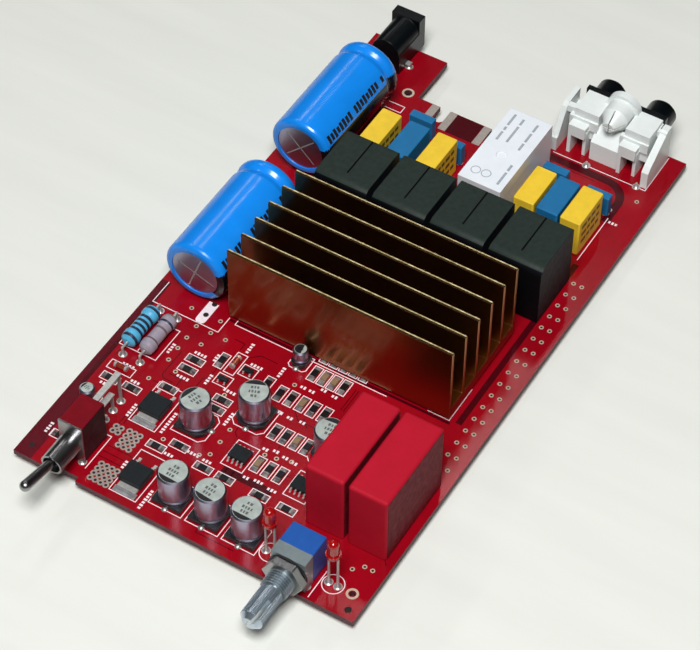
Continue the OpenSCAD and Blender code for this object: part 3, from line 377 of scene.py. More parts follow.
def make_piece(name, bm, material, body="board", smooth=False):
    """Turns a bmesh into a piece that rides on a CAD body."""
    bmesh.ops.recalc_face_normals(bm, faces=bm.faces)
    mesh = bpy.data.meshes.new(name)
    bm.to_mesh(mesh)
    bm.free()
    if smooth:
        mesh.polygons.foreach_set("use_smooth", [True] * len(mesh.polygons))
        mesh.set_sharp_from_angle(angle=math.radians(40))
    mesh.materials.append(material)
    piece = bpy.data.objects.new(name, mesh)
    bpy.context.scene.collection.objects.link(piece)
    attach(piece, body)


def loft(bm, rings, caps=True):
    """Skins a row of equal rings of points given in frame metres."""
    rows = [[bm.verts.new(p) for p in ring] for ring in rings]
    count = len(rows[0])
    for low, high in zip(rows, rows[1:]):
        for i in range(count):
            j = (i + 1) % count
            bm.faces.new((low[i], low[j], high[j], high[i]))
    if caps:
        bm.faces.new(list(reversed(rows[0])))
        bm.faces.new(rows[-1])


def prism(bm, outline, layer):
    """Upright prism on a closed outline between two heights."""
    loft(bm, [[at(x, y, z) for x, y in outline] for z in layer])


def rectangle(x0, y0, x1, y1):
    return [(x0, y0), (x1, y0), (x1, y1), (x0, y1)]


def slab(bm, x0, y0, x1, y1, layer):
    prism(bm, rectangle(x0, y0, x1, y1), layer)


def circle(c, r, count=20):
    angles = [2 * math.pi * i / count for i in range(count)]
    return [(c[0] + r * math.cos(a), c[1] + r * math.sin(a)) for a in angles]


def arc(c, r, a0, a1, count=10):
    """Points on an arc from angle a0 to a1 in degrees."""
    angles = [math.radians(a0 + (a1 - a0) * i / count) for i in range(count + 1)]
    return [(c[0] + r * math.cos(a), c[1] + r * math.sin(a)) for a in angles]


def turned(points, c, degrees):
    """Points turned about the origin and carried to a place on the board."""
    cos, sin = math.cos(math.radians(degrees)), math.sin(math.radians(degrees))
    return [(c[0] + x * cos - y * sin, c[1] + x * sin + y * cos) for x, y in points]


def disc(bm, c, r, layer, count=20):
    prism(bm, circle(c, r, count), layer)


def ring(bm, c, r_out, r_in, layer, count=20):
    """Flat washer shape."""
    outer = circle(c, r_out, count)
    inner = circle(c, r_in, count)
    low, high = layer
    section = [(outer, low), (outer, high), (inner, high), (inner, low)]
    rows = [[bm.verts.new(at(x, y, z)) for x, y in points] for points, z in section]
    rows.append(rows[0])
    for a, b in zip(rows, rows[1:]):
        for i in range(count):
            j = (i + 1) % count
            bm.faces.new((a[i], a[j], b[j], b[i]))


def stroke(bm, points, width, layer, closed=False):
    """Line of even width with mitred corners."""
    pts = [Vector(p) for p in points]
    count = len(pts)
    left, right = [], []
    for i, p in enumerate(pts):
        before = pts[i - 1] if closed or i > 0 else None
        after = pts[(i + 1) % count] if closed or i < count - 1 else None
        d0 = (p - before).normalized() if before is not None else (after - p).normalized()
        d1 = (after - p).normalized() if after is not None else d0
        n0, n1 = Vector((-d0.y, d0.x)), Vector((-d1.y, d1.x))
        n = (n0 + n1).normalized()
        reach = width / 2 / max(0.4, n.dot(n0))
        left.append(p + n * reach)
        right.append(p - n * reach)
    if closed:
        for i in range(count):
            j = (i + 1) % count
            prism(bm, [left[i], right[i], right[j], left[j]], layer)
    else:
        prism(bm, left + right[::-1], layer)


def frame_line(bm, x0, y0, x1, y1):
    """Printed line round a rectangle."""
    stroke(bm, rectangle(x0, y0, x1, y1), PRINT_W, PRINT_LAYER, closed=True)


def revolve(bm, c, profile, count=16, axis="z", caps=True):
    """Turns a profile of (radius, offset) pairs about an upright axis or one along Y."""
    rings = []
    for r, offset in profile:
        points = []
        for i in range(count):
            a = 2 * math.pi * i / count
            u, v = r * math.cos(a), r * math.sin(a)
            dy, dz = (v, offset) if axis == "z" else (offset, v)
            points.append(at(c[0] + u, c[1] + dy, c[2] + dz))
        rings.append(points)
    loft(bm, rings, caps=caps)


def soften(node, width, segments=2):
    """Rounds the sharp edges of a CAD node for show, without touching its mesh."""
    piece = nodes[node]
    weld = piece.modifiers.new("weld", "WELD")
    weld.merge_threshold = 1e-6
    flat = piece.modifiers.new("flat_faces", "DECIMATE")
    flat.decimate_type = "DISSOLVE"
    flat.angle_limit = math.radians(1)
    bevel = piece.modifiers.new("round_edges", "BEVEL")
    bevel.width = width * MM
    bevel.segments = segments
    bevel.limit_method = "ANGLE"
    bevel.angle_limit = math.radians(40)
    bevel.harden_normals = True


# Finishes of the CAD nodes

for entry in frame["record"]["subparts"]:
    piece = nodes[entry["node"]]
    piece.data.materials.clear()
    piece.data.materials.append(FINISHES[entry["material_slot"]])


def refinish(node, material, chosen):
    """Gives the chosen faces of a CAD node one more finish."""
    mesh = nodes[node].data
    mesh.materials.append(material)
    for face in mesh.polygons:
        if chosen(face):
            face.material_index = len(mesh.materials) - 1


def shade_inductor(node):
    """Painted shade on an inductor block: sides, front and slot darker than its top."""
    low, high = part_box(node)
    x = (low.x + high.x) / 2

    def in_slot(face):
        inside = abs(face.center.x - x) < 0.25 * MM and face.center.z > high.z - 0.6 * MM
        return inside and (abs(face.normal.x) > 0.9 or face.center.z < high.z - 0.3 * MM)

    refinish(node, FERRITE_SHADED_SIDE, lambda face: face.normal.z < 0.6)
    refinish(node, FERRITE_SHADED_FRONT, lambda face: face.normal.y < -0.75)
    refinish(node, SLOT_SHADE, in_slot)


def lying(pairs):
    """Middle of each box and whether it is longer along X than along Y."""
    return [(middle(pair), pair[1].x - pair[0].x > pair[1].y - pair[0].y) for pair in pairs]


CHIP_BOXES = islands("chip_resistors") + islands("chip_capacitors")
CHIP_CAP_REACH = 1.2


def dull_chip_ends():
    """Darker tin on the end caps of the chip parts than on the other leads."""
    def on_chip(face):
        p = to_board(face.center)
        for low, high in CHIP_BOXES:
            along_x = low.x - CHIP_CAP_REACH < p.x < high.x + CHIP_CAP_REACH
            along_y = low.y - CHIP_CAP_REACH < p.y < high.y + CHIP_CAP_REACH
            if along_x and along_y:
                return True
        return False

    refinish("surface_mount_leads", CHIP_END, on_chip)


STRIPE_FROM, STRIPE_TO = -38, 21


def stripe_sleeve(node):
    """Black stripe along the side of a reservoir sleeve that faces the heatsink."""
    c = middle(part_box(node))

    def in_stripe(face):
        angle = math.degrees(math.atan2(face.center.z - c.z, face.center.x - c.x))
        return STRIPE_FROM < angle < STRIPE_TO

    refinish(node, SLEEVE_BLACK, in_stripe)


nodes["volume_front"].data.materials[0] = PLATED_GREY
refinish("circuit_board", BOARD_EDGE, lambda face: abs(face.normal.z) < 0.5)
# Painted light on the relay sides.
refinish("relay_cover", RELAY_PAINTED_LIGHT_SIDE, lambda face: face.normal.z < 0.5)
sink_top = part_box("heatsink")[1].z
# Painted shade on the fin tops.
refinish("heatsink", FIN_TOP_SHADE, lambda face: face.normal.z > 0.9 and face.center.z > sink_top - 0.1 * MM)
for i in range(1, 7):
    refinish(f"electrolytic_{i}", CAN_TOP, lambda face: face.normal.z > 0.9)
refinish("small_electrolytics", CAN_TOP, lambda face: face.normal.z > 0.9)
for i in range(1, 5):
    shade_inductor(f"inductor_{i}")
# Painted shade on the right and rear faces of the crimson capacitors.
for i in range(1, 3):
    refinish(f"input_capacitor_{i}", CRIMSON_SHADED_SIDE, lambda face: max(face.normal.x, face.normal.y) > 0.9)
# Painted shade on the right face of the switch body.
refinish("switch_body", SWITCH_SHADED_SIDE, lambda face: face.normal.x > 0.9)
dull_chip_ends()
stripe_sleeve("reservoir_sleeve_1")
stripe_sleeve("reservoir_sleeve_2")

# Shown edge radius of the boxy nodes
EDGE_ROUNDS = {
    "heatsink": 0.12, "relay_cover": 0.35, "switch_body": 0.35, "switch_bracket": 0.08,
    "volume_housing": 0.3, "power_socket": 0.3, "op_amps": 0.15, "regulators": 0.2, "volume_nut": 0.2,
    "small_film_capacitors": 0.25, "chip_resistors": 0.05, "chip_capacitors": 0.1,
    "electrolytic_bases": 0.08, "transistors": 0.12,
}
for name, width in EDGE_ROUNDS.items():
    soften(name, width)
for i in range(1, 5):
    soften(f"inductor_{i}", 0.3, 3)
    soften(f"yellow_film_capacitor_{i}", 0.3, 3)
for i in range(1, 3):
    soften(f"blue_film_capacitor_{i}", 0.3, 3)
    soften(f"phono_barrel_{i}", 0.12)


# Board: bare laminate, pads, holes and print, and the painted highlights on the fin edges over it

# Left, front, right and rear of each darker rectangle
BARE_BANDS = [
    (1.7, 26, 2.9, 66),
    (35.9, 151.2, 44.2, 158.7),
    # Darker strip along the heatsink's right side
    (88.9, 64.5, 90.6, 127),
    (22.8, 63.1, 87.8, 63.9),
    (47.2, 20.9, 61.5, 23.1),
]


def bare_bands():
    """Darker red strips: places without copper, and one along the heatsink's right side."""
    bm = bmesh.new()
    for band in BARE_BANDS:
        slab(bm, *band, GAP_LAYER)
    bend = arc((82.6, 151.7), 6.4, 90, 0, 10)
    stroke(bm, [(65, 158.1)] + bend + [(89, 144.5)], 2.4, GAP_LAYER)
    make_piece("board_bare_bands", bm, BARE_LAMINATE)


EDGE_BAND = [
    (0.03, 0.03), (5.2, 0.03), (5.2, 8.2), (4.5, 8.2), (4.5, 24),
    (2.9, 26), (1.7, 26), (1.7, 66), (0.03, 66),
]


def edge_band():
    """Dull strip along the left edge and round the front left corner."""
    bm = bmesh.new()
    prism(bm, EDGE_BAND, GAP_LAYER)
    make_piece("board_edge_band", bm, EDGE_RED)


TRACK_GAPS = [
    [(17.5, 14), (17.5, 24), (19, 25.6), (19, 33)],
    [(18.5, 21), (18.5, 24), (20, 25.4)],
    [(17.9, 48.2), (17.9, 39.2), (18.8, 38.4), (21.4, 38.4), (21.4, 36.8)],
    [(19.3, 40.4), (23, 40.4), (23, 36.8)],
    [(17, 36.4), (19, 36.4)],
    [(19, 13.4), (26, 13.4)],
    [(19, 11.4), (26, 11.4)],
    [(19, 9.6), (26, 9.6)],
    [(4.1, 42), (4.1, 38)],
    [(27.2, 58.6), (30.4, 58.6), (30.4, 56.3)],
    [(28.7, 48.2), (28.7, 44.5), (27.4, 43.2), (27.4, 39.4)],
    [(43.6, 37), (43.6, 33.4), (44.8, 32.2)],
    [(48.2, 23), (48.2, 21.4)],
    [(50.2, 23), (50.2, 21.4)],
    [(52.6, 47), (55, 44.6), (60.4, 44.6)],
    [(56, 45.8), (58.4, 43.4)],
    [(62.4, 60.6), (62.4, 53)],
    [(63.2, 60.6), (63.2, 53)],
    [(53.4, 56.4), (60.6, 56.4)],
    [(55.5, 36.5), (55.5, 34.4)],
    [(61.8, 28.4), (63.6, 28.4)],
    [(33.6, 55), (36, 57.4), (41, 57.4)],
    [(52, 6), (52, 2.6), (63, 2.6)],
    [(30.8, 61.8), (30.8, 64), (33, 66)],
    [(86.5, 30), (96.4, 18)],
    [(66.5, 146), (66.5, 156.2), (80, 156.2)],
]


def track_gaps():
    """Narrow dark lines beside the tracks."""
    bm = bmesh.new()
    for line in TRACK_GAPS:
        stroke(bm, line, 0.22, GAP_LAYER)
    make_piece("board_track_gaps", bm, BARE_LAMINATE)


VIA_R = 0.62
VIA_HOLE_R = 0.36
SCREW_PADS = (((93.7, 6.9), 1.6), ((19.9, 158.9), 1.75))
OPEN_HOLES = ((3, 3.7), (95.2, 2.5), (16.5, 61.6), (16.5, 65.7))
EDGE_VIA_PITCH = 4.39
EDGE_VIA_LAST = 120.7
FRONT_VIAS = [
    (12.1, 61.6), (20.9, 61.7), (16.5, 57.1), (20.9, 57.1), (25.4, 57.1), (16.5, 52.6), (20.9, 52.6),
    (16.5, 48.5), (16.6, 44.1), (20.3, 41.7), (15.7, 36.4), (29.7, 22.1), (42.2, 33.2), (42.2, 28.7),
    (42.2, 24.2), (40, 22.6), (48.3, 53.8), (35, 41.8), (53.8, 31.1), (56.9, 31.6), (60.6, 32.7),
    (92.2, 15.1), (94.4, 15.1), (90, 13), (93, 155.3), (88.2, 149),
]


def vias():
    """Plated holes: tinned rings, with painted shade for the holes in their centres."""
    edge_rows = [EDGE_VIA_LAST - EDGE_VIA_PITCH * i for i in range(17)]
    places = FRONT_VIAS + [(94.7, y) for y in edge_rows] + [(92.3, y) for y in edge_rows[:-1]]
    rings = bmesh.new()
    holes = bmesh.new()
    for c in places:
        ring(rings, c, VIA_R, VIA_HOLE_R - 0.02, PAD_LAYER, 16)
        ring(rings, c, VIA_R, VIA_HOLE_R - 0.02, UNDER_LAYER, 16)
        disc(holes, c, VIA_HOLE_R, HOLE_LAYER, 12)
        disc(holes, c, VIA_HOLE_R, UNDER_HOLE_LAYER, 12)
    for c, r in SCREW_PADS:
        ring(rings, c, r, r - 0.6, PAD_LAYER, 24)
    for c in OPEN_HOLES:
        disc(holes, c, 0.75, OPEN_HOLE_LAYER, 16)
    make_piece("board_via_rings", rings, VIA_RING)
    make_piece("board_via_hole_shade", holes, HOLE_SHADE)


# Front left pad, columns, rows and the two pitches of each field
LATTICES = [
    ((17.46, 17.88), 2, 2, 1.5, 1.53),
    ((21.19, 14.81), 3, 4, 1.555, 1.67),
    ((20.99, 2.88), 4, 4, 1.555, 1.65),
]


def lattices():
    """Test fields of close tinned pads with a hole in each, shown as painted shade."""
    rings = bmesh.new()
    holes = bmesh.new()
    for (x, y), columns, rows, dx, dy in LATTICES:
        for i in range(columns):
            for j in range(rows):
                c = (x + i * dx, y + j * dy)
                ring(rings, c, 0.86, 0.4, PAD_LAYER, 16)
                disc(holes, c, 0.42, HOLE_LAYER, 14)
    make_piece("board_lattice_rings", rings, LAND_GREY)
    make_piece("board_lattice_hole_shade", holes, HOLE_SHADE)


RECESS_LAND_LEFT = (27.9, 33.6, 44.3, 50.1)
RECESS_LAND_W = 2.3
RECESS_LAND_SPAN = (151.3, 158.7)


def slot_pads():
    """Tinned lands beside the open slots of the rear recess."""
    bm = bmesh.new()
    front, rear = RECESS_LAND_SPAN
    for x in RECESS_LAND_LEFT:
        slab(bm, x, front, x + RECESS_LAND_W, rear, PAD_LAYER)
    make_piece("recess_lands", bm, LAND_GREY)


CHIP_HALF_L = 1.6


def chip_solder():
    """Solder slopes and lands at both ends of each chip part."""
    bm = bmesh.new()
    reach, rise, half = 0.75, 0.42, 0.72
    inner = CHIP_HALF_L - 0.02
    knee = (CHIP_HALF_L + reach * 0.45, rise * 0.28)
    profile = [(inner, 0), (CHIP_HALF_L + reach, 0), knee, (inner, rise)]
    for c, along_x in lying(CHIP_BOXES):
        for side in (-1, 1):
            rings = []
            for t in (-half, half):
                spots = [(side * s, t, z) if along_x else (t, side * s, z) for s, z in profile]
                rings.append([at(c.x + dx, c.y + dy, z) for dx, dy, z in spots])
            loft(bm, rings)
    make_piece("chip_solder", bm, CHIP_END)


SOLDER_CONE = [(0.95, 0), (0.72, 0.12), (0.52, 0.34), (0.3, 0.55)]
SOLDER_DROP = [(0.85, 0), (0.7, 0.22), (0.4, 0.42), (0.08, 0.5)]


def lead_solder():
    """Ring lands and solder cones round the leads that come up through the board."""
    lands = bmesh.new()
    cones = bmesh.new()
    for pair in islands("solder_joints"):
        c = middle(pair)
        ring(lands, (c.x, c.y), 1.15, 0.5, PAD_LAYER, 18)
        ring(lands, (c.x, c.y), 1.15, 0.5, UNDER_LAYER, 18)
        revolve(cones, (c.x, c.y, 0.03), SOLDER_CONE, 14)
    make_piece("lead_lands", lands, FINISHES["tinned_lead"])
    make_piece("lead_solder", cones, FINISHES["solder"], smooth=True)


CAN_TURN = (-90, 180, 0, 0, 0, 180)


def can_places():
    """Middle, half width of the printed outline and turn of each standing can."""
    places = []
    for i, turn in enumerate(CAN_TURN):
        low, high = (to_board(p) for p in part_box(f"electrolytic_{i + 1}"))
        places.append(((low + high) / 2, (high.x - low.x) / 2 + 0.7, turn))
    for low, high in islands("small_electrolytics"):
        places.append(((low + high) / 2, (high.x - low.x) / 2 + 0.6, 180))
    return places


def can_solder():
    """Solder that runs out from under both feet of each standing can."""
    bm = bmesh.new()
    for c, b, turn in can_places():
        for end in (-1, 1):
            x, y = turned([(0, end * (b - 0.2))], c, turn)[0]
            revolve(bm, (x, y, 0.02), SOLDER_DROP, 14)
    make_piece("can_solder", bm, FINISHES["solder"], smooth=True)


def tab_solder():
    """Tinned lands in front of the regulator tabs."""
    lands = bmesh.new()
    for pair in islands("regulators"):
        c = middle(pair)
        slab(lands, c.x - 3.2, c.y - 6, c.x + 3.2, c.y - 4.2, (0.008, 0.09))
        slab(lands, c.x - 2.9, c.y - 5.1, c.x + 2.9, c.y - 4.3, (0.05, 0.28))
    make_piece("tab_solder", lands, PAD_SOLDER)


# Reach of the printed outline from the part's middle: to the sides, the front and the rear
PART_OUTLINES = {"op_amps": (3.1, 4.2, 4.2), "regulators": (3.9, 6.2, 8), "transistors": (2.1, 1.8, 1.8)}
CHIP_OUTLINE = (2.5, 1.2)
DIODE_OUTLINE = (3.6, 1.45)


def lying_outlines(bm, pairs, reach):
    """Outlines of lying parts, whose reach is along and across the part."""
    along, across = reach
    for c, along_x in lying(pairs):
        dx, dy = (along, across) if along_x else (across, along)
        frame_line(bm, c.x - dx, c.y - dy, c.x + dx, c.y + dy)


def print_outlines():
    """White outlines round the parts."""
    bm = bmesh.new()
    lying_outlines(bm, CHIP_BOXES, CHIP_OUTLINE)
    for node, (side, front, rear) in PART_OUTLINES.items():
        for pair in islands(node):
            c = middle(pair)
            frame_line(bm, c.x - side, c.y - front, c.x + side, c.y + rear)
    lying_outlines(bm, islands("glass_diodes"), DIODE_OUTLINE)
    for c, b, turn in can_places():
        k = b * 0.3
        outline = [(-b, -b), (b, -b), (b, b - k), (b - k, b), (k - b, b), (-b, b - k)]
        stroke(bm, turned(outline, c, turn), PRINT_W, PRINT_LAYER, closed=True)
    make_piece("board_part_outlines", bm, WHITE_PRINT)


PRINT_LINES = [
    [(2.2, 66), (2.2, 58.3), (22.3, 58.3), (22.3, 64)],
    [(24.7, 64.2), (24.7, 62.7), (70, 62.7)],
    [(81, 64.3), (87.2, 64.3), (87.2, 76)],
    [(2.8, 53.4), (2.8, 42.1), (13.9, 42.1), (13.9, 53.4), (2.8, 53.4)],
    [(8.3, 53.1), (8.3, 42.4)],
    [(18.4, 4.5), (18.4, 16), (17, 16)],
    [(85.2, 0.6), (85.2, 10)],
    [(65, 160.1), (93, 160.1), (93, 174.4)],
    [(89.2, 128.5), (89.2, 146)],
    [(17, 151), (22, 151), (22, 153.5), (17, 153.5)],
    [(4.7, 8.4), (4.7, 10.8)],
]
LAMP_RING_R = 2.9


def print_lines():
    """White guide lines, the filled strip by the front reservoir and the lamp rings."""
    bm = bmesh.new()
    for line in PRINT_LINES:
        closed = line[0] == line[-1]
        stroke(bm, line[:-1] if closed else line, PRINT_W, PRINT_LAYER, closed)
    strip = [(17.7, 66), (14.8, 66), (14.8, 59.7)] + arc((16.25, 59.7), 1.45, 180, 360, 10)
    prism(bm, strip, PRINT_LAYER)
    for pair in islands("indicator_lamps"):
        c = middle(pair)
        ring(bm, (c.x, c.y), LAMP_RING_R, LAMP_RING_R - PRINT_W, PRINT_LAYER, 36)
    make_piece("board_print_lines", bm, WHITE_PRINT)


# Middle, direction and count of the plain marks that stand beside the parts
CODE_MARKS = [
    (9.2, 37.1, "x", 4), (6.8, 29.1, "x", 2), (13.7, 33.5, "x", 3), (22.8, 49.7, "x", 4),
    (23.1, 41, "x", 4), (15.1, 47.7, "y", 4), (26.7, 51.1, "y", 3), (32.3, 58.2, "y", 4),
    (37.1, 53.8, "x", 4), (28.8, 44.1, "y", 4), (35.7, 43.3, "x", 4), (17.8, 25.8, "y", 5),
    (28, 27.2, "y", 8), (40.1, 36, "y", 5), (38.7, 22.1, "x", 4), (33.7, 18.7, "x", 3),
    (26, 10.7, "y", 3), (42.9, 21.9, "x", 3), (53.2, 32.6, "x", 2), (55.8, 33.4, "x", 2),
    (58.8, 32.9, "x", 2), (61.6, 32.6, "x", 2), (53.8, 22.7, "x", 2), (57.1, 23.2, "x", 3),
    (61.3, 22.7, "x", 3), (50.1, 44.3, "x", 2), (53.1, 44.1, "x", 2), (56.5, 44.5, "x", 2),
    (43.3, 55.7, "y", 4), (50.8, 54.2, "x", 2), (53.3, 54.2, "x", 2), (36.4, 4.5, "y", 7),
    (91.3, 144.9, "x", 3), (55.7, 56.1, "x", 2), (59.1, 55.7, "x", 2), (3.4, 10.6, "y", 4),
]
MARK_PITCH = 0.95
MARK_W, MARK_H = 0.58, 0.95


def code_marks():
    """Rows of small white blocks where the board carries print."""
    bm = bmesh.new()
    for x, y, along, count in CODE_MARKS:
        turn = 0 if along == "x" else 90
        for k in range(count):
            start = (k - count / 2) * MARK_PITCH
            half = MARK_H / 2 * (1 if k % 2 else 0.8)
            block = rectangle(start, -half, start + MARK_W, half)
            prism(bm, turned(block, (x, y), turn), PRINT_LAYER)
    make_piece("board_code_marks", bm, WHITE_PRINT)


def paint_fin_highlights():
    """Painted highlight along the rear edge on the top of each fin."""
    low, high = (to_board(p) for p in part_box("heatsink"))
    points = [to_board(v.co) for v in nodes["heatsink"].data.vertices]
    faces_of_fins = sorted({round(p.y, 2) for p in points if p.z > high.z - 0.01})
    bm = bmesh.new()
    for rear in faces_of_fins[1::2]:
        slab(bm, low.x + 0.15, rear - 0.42, high.x - 0.15, rear - 0.08, (high.z - 0.02, high.z + 0.02))
    make_piece("heatsink_edge_highlights", bm, FIN_EDGE_HIGHLIGHT)


code_marks()
paint_fin_highlights()
bare_bands()
edge_band()
track_gaps()
vias()
lattices()
slot_pads()
chip_solder()
lead_solder()
can_solder()
tab_solder()
print_outlines()
print_lines()


# Capacitors

# Polarity angle of the six cans, then of the two smaller ones
CAN_MARK_ANGLE = (162, 113, 268, 265, 270, 95, 165, 190)
CAN_MARK_HALF = (52, 52, 52, 52, 52, 52, 52, 112)
CAN_CODE_ROWS = ((0.5, 0.4, 0.6), (0.6, 0.4, 0.5, 0.4), (0.5, 0.7))
CODE_ROWS_R = 3.5


def code_rows():
    """Outlines of the code bars on a can top of the radius CODE_ROWS_R."""
    outlines = []
    for row, lengths in enumerate(CAN_CODE_ROWS):
        along = -sum(lengths) / 2 - 0.15 * (len(lengths) - 1)
        low, high = 0.8 - 1.35 * row, 1.6 - 1.35 * row
        for length in lengths:
            end = along + length
            outlines.append(rectangle(low, along, high, end))
            along = end + 0.3
    return outlines


def can_marks():
    """Dark polarity segment and rows of plain code bars on each standing can."""
    segments = bmesh.new()
    bars = bmesh.new()
    boxes = [tuple(to_board(p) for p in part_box(f"electrolytic_{i}")) for i in range(1, 7)]
    boxes += islands("small_electrolytics")
    for (low, high), angle, half in zip(boxes, CAN_MARK_ANGLE, CAN_MARK_HALF):
        c = (low + high) / 2
        r = (high.x - low.x) / 2 - 0.5
        layer = (high.z + 0.004, high.z + 0.02)
        prism(segments, arc((c.x, c.y), r, angle - half, angle + half, 16), layer)
        for outline in code_rows():
            scaled = [(x * r / CODE_ROWS_R, y * r / CODE_ROWS_R) for x, y in outline]
            prism(bars, turned(scaled, c, angle), layer)
    make_piece("can_segments", segments, DARK_PRINT)
    make_piece("can_code_bars", bars, FAINT_PRINT)


SLEEVE_BAR_ANGLE = 33
SLEEVE_BAR_SPANS = (16, 13, 16, 11, 15)
SLEEVE_BAR_COUNT = 22
SLEEVE_BAR_GROUP = 9


def sleeve_bars(i):
    """Plain dark code bars along a reservoir sleeve, in groups, clear of the groove."""
    low, high = (to_board(p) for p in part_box(f"reservoir_sleeve_{i}"))
    x, z = (low.x + high.x) / 2, (low.z + high.z) / 2
    r = (high.x - low.x) / 2
    bm = bmesh.new()
    pitch = (high.y - low.y - 4) / SLEEVE_BAR_COUNT
    for k in range(SLEEVE_BAR_COUNT):
        y0 = low.y + 2 + (k + 0.14) * pitch
        y1 = low.y + 2 + (k + 0.86) * pitch
        on_groove = y0 < high.y - 2.4 and y1 > high.y - 5.8
        if on_groove or k % SLEEVE_BAR_GROUP == SLEEVE_BAR_GROUP - 1:
            continue
        half = SLEEVE_BAR_SPANS[k % len(SLEEVE_BAR_SPANS)] / 2
        inner = arc((x, z), r + 0.004, SLEEVE_BAR_ANGLE - half, SLEEVE_BAR_ANGLE + half, 4)
        outer = arc((x, z), r + 0.02, SLEEVE_BAR_ANGLE + half, SLEEVE_BAR_ANGLE - half, 4)
        loft(bm, [[at(px, y, pz) for px, pz in inner + outer] for y in (y0, y1)])
    make_piece(f"sleeve_bars_{i}", bm, DARK_PRINT)


VENT_ANGLES = {1: (20, 110), 2: (45, 135)}
VENT_INSET = 3
VENT_HALF_W = 0.13


def vent_lines(i):
    """Bright bottom of the scored cross on a reservoir's front end."""
    low, high = (to_board(p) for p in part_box(f"reservoir_can_{i}"))
    x, z = (low.x + high.x) / 2, (low.z + high.z) / 2
    reach = (high.x - low.x) / 2 - VENT_INSET
    bm = bmesh.new()
    for angle in VENT_ANGLES[i]:
        line = rectangle(-reach, -VENT_HALF_W, reach, VENT_HALF_W)
        corners = turned(line, (x, z), -angle)
        loft(bm, [[at(px, y, pz) for px, pz in corners] for y in (low.y + 0.04, low.y + 0.26)])
    make_piece(f"reservoir_vent_{i}", bm, CAN_TOP)


FILM_MARK_LENGTHS = (2.6, 1.5, 2.2, 1.7)
FILM_MARK_HALF_H = 0.6
FILM_MARK_PITCH = 2.7


def film_marks():
    """Plain code bars on the right-hand sides of the yellow film capacitors."""
    bm = bmesh.new()
    for i in range(1, 5):
        low, high = (to_board(p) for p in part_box(f"yellow_film_capacitor_{i}"))
        for row in range(3):
            z = high.z - 2.6 - FILM_MARK_PITCH * row
            y = low.y + 1.6
            for length in FILM_MARK_LENGTHS:
                corners = rectangle(y, z - FILM_MARK_HALF_H, y + length, z + FILM_MARK_HALF_H)
                loft(bm, [[at(x, v, w) for v, w in corners] for x in (high.x + 0.003, high.x + 0.015)])
                y += length + 0.6
    make_piece("film_marks", bm, MUSTARD_PRINT)


# Place across, first place along and lengths of the bars in each row on the relay
RELAY_ROWS = (
    (2.4, 16.5, (3.4, 1.4, 4.6)), (5.2, 17, (6.6, 2.4)), (9.4, 16, (2.8, 3.6, 3)), (10.6, 2.2, (5, 2.4)),
)
RELAY_RINGS = ((3.2, 4), (6.2, 4.2))
RELAY_BAR_HALF_W = 0.35


def relay_marks():
    """Pale grey code bars and two rings on the relay cover."""
    low, high = (to_board(p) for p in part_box("relay_cover"))
    layer = (high.z + 0.003, high.z + 0.015)
    bm = bmesh.new()
    for across, first, lengths in RELAY_ROWS:
        x, y = low.x + across, low.y + first
        for length in lengths:
            slab(bm, x - RELAY_BAR_HALF_W, y, x + RELAY_BAR_HALF_W, y + length, layer)
            y += length + 0.7
    for x, y in RELAY_RINGS:
        ring(bm, (low.x + x, low.y + y), 1.4, 1.15, layer, 24)
    make_piece("relay_marks", bm, GREY_PRINT)


can_marks()
sleeve_bars(1)
sleeve_bars(2)
vent_lines(1)
vent_lines(2)
film_marks()
relay_marks()


# Axial resistors

# Place of each painted band as a share of the body's length
RESISTOR_BANDS = {
    "blue_resistor": [(share, BAND_NAVY) for share in (0.09, 0.29, 0.41, 0.53, 0.65, 0.88)],
    "grey_resistor": [(0.25, BAND_BROWN), (0.58, BAND_BROWN), (0.76, BAND_NAVY), (0.95, BAND_GREEN)],
}
BAND_HALF_W = {"blue_resistor": 0.42, "grey_resistor": 0.3}
# Millimetres from the front end and share of the full radius there
RESISTOR_SHAPE = [
    (0, 0.5), (0.7, 0.9), (1.5, 1), (2.9, 1), (3.7, 0.88),
    (9.3, 0.88), (10.1, 1), (11.5, 1), (12.3, 0.9), (13, 0.5),
]


def resistor_radius(y, r):
    """Radius of the waisted body at a distance from its front end."""
    for (y0, f0), (y1, f1) in zip(RESISTOR_SHAPE, RESISTOR_SHAPE[1:]):
        if y0 <= y <= y1:
            return r * (f0 + (f1 - f0) * (y - y0) / (y1 - y0))
    return r * 0.5


def resistor_bands(node):
    """Painted bands that follow the waisted body."""
    low, high = (to_board(p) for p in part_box(node))
    r = (high.x - low.x) / 2
    x, z = (low.x + high.x) / 2, (low.z + high.z) / 2
    length = high.y - low.y
    for k, (share, material) in enumerate(RESISTOR_BANDS[node]):
        bm = bmesh.new()
        half = BAND_HALF_W[node]
        steps = [share * length - half + half * j / 2 for j in range(5)]
        profile = [(resistor_radius(max(0, y), r) + 0.02, y) for y in steps]
        revolve(bm, (x, low.y, z), profile, 32, axis="y", caps=False)
        make_piece(f"{node}_band_{k + 1}", bm, material, smooth=True)


resistor_bands("blue_resistor")
resistor_bands("grey_resistor")


# Volume control: thread and knurl

THREAD_ROOT_R = 3.46
THREAD_CREST_R = 3.62
THREAD_PITCH = 0.72
THREAD_STEPS = 40


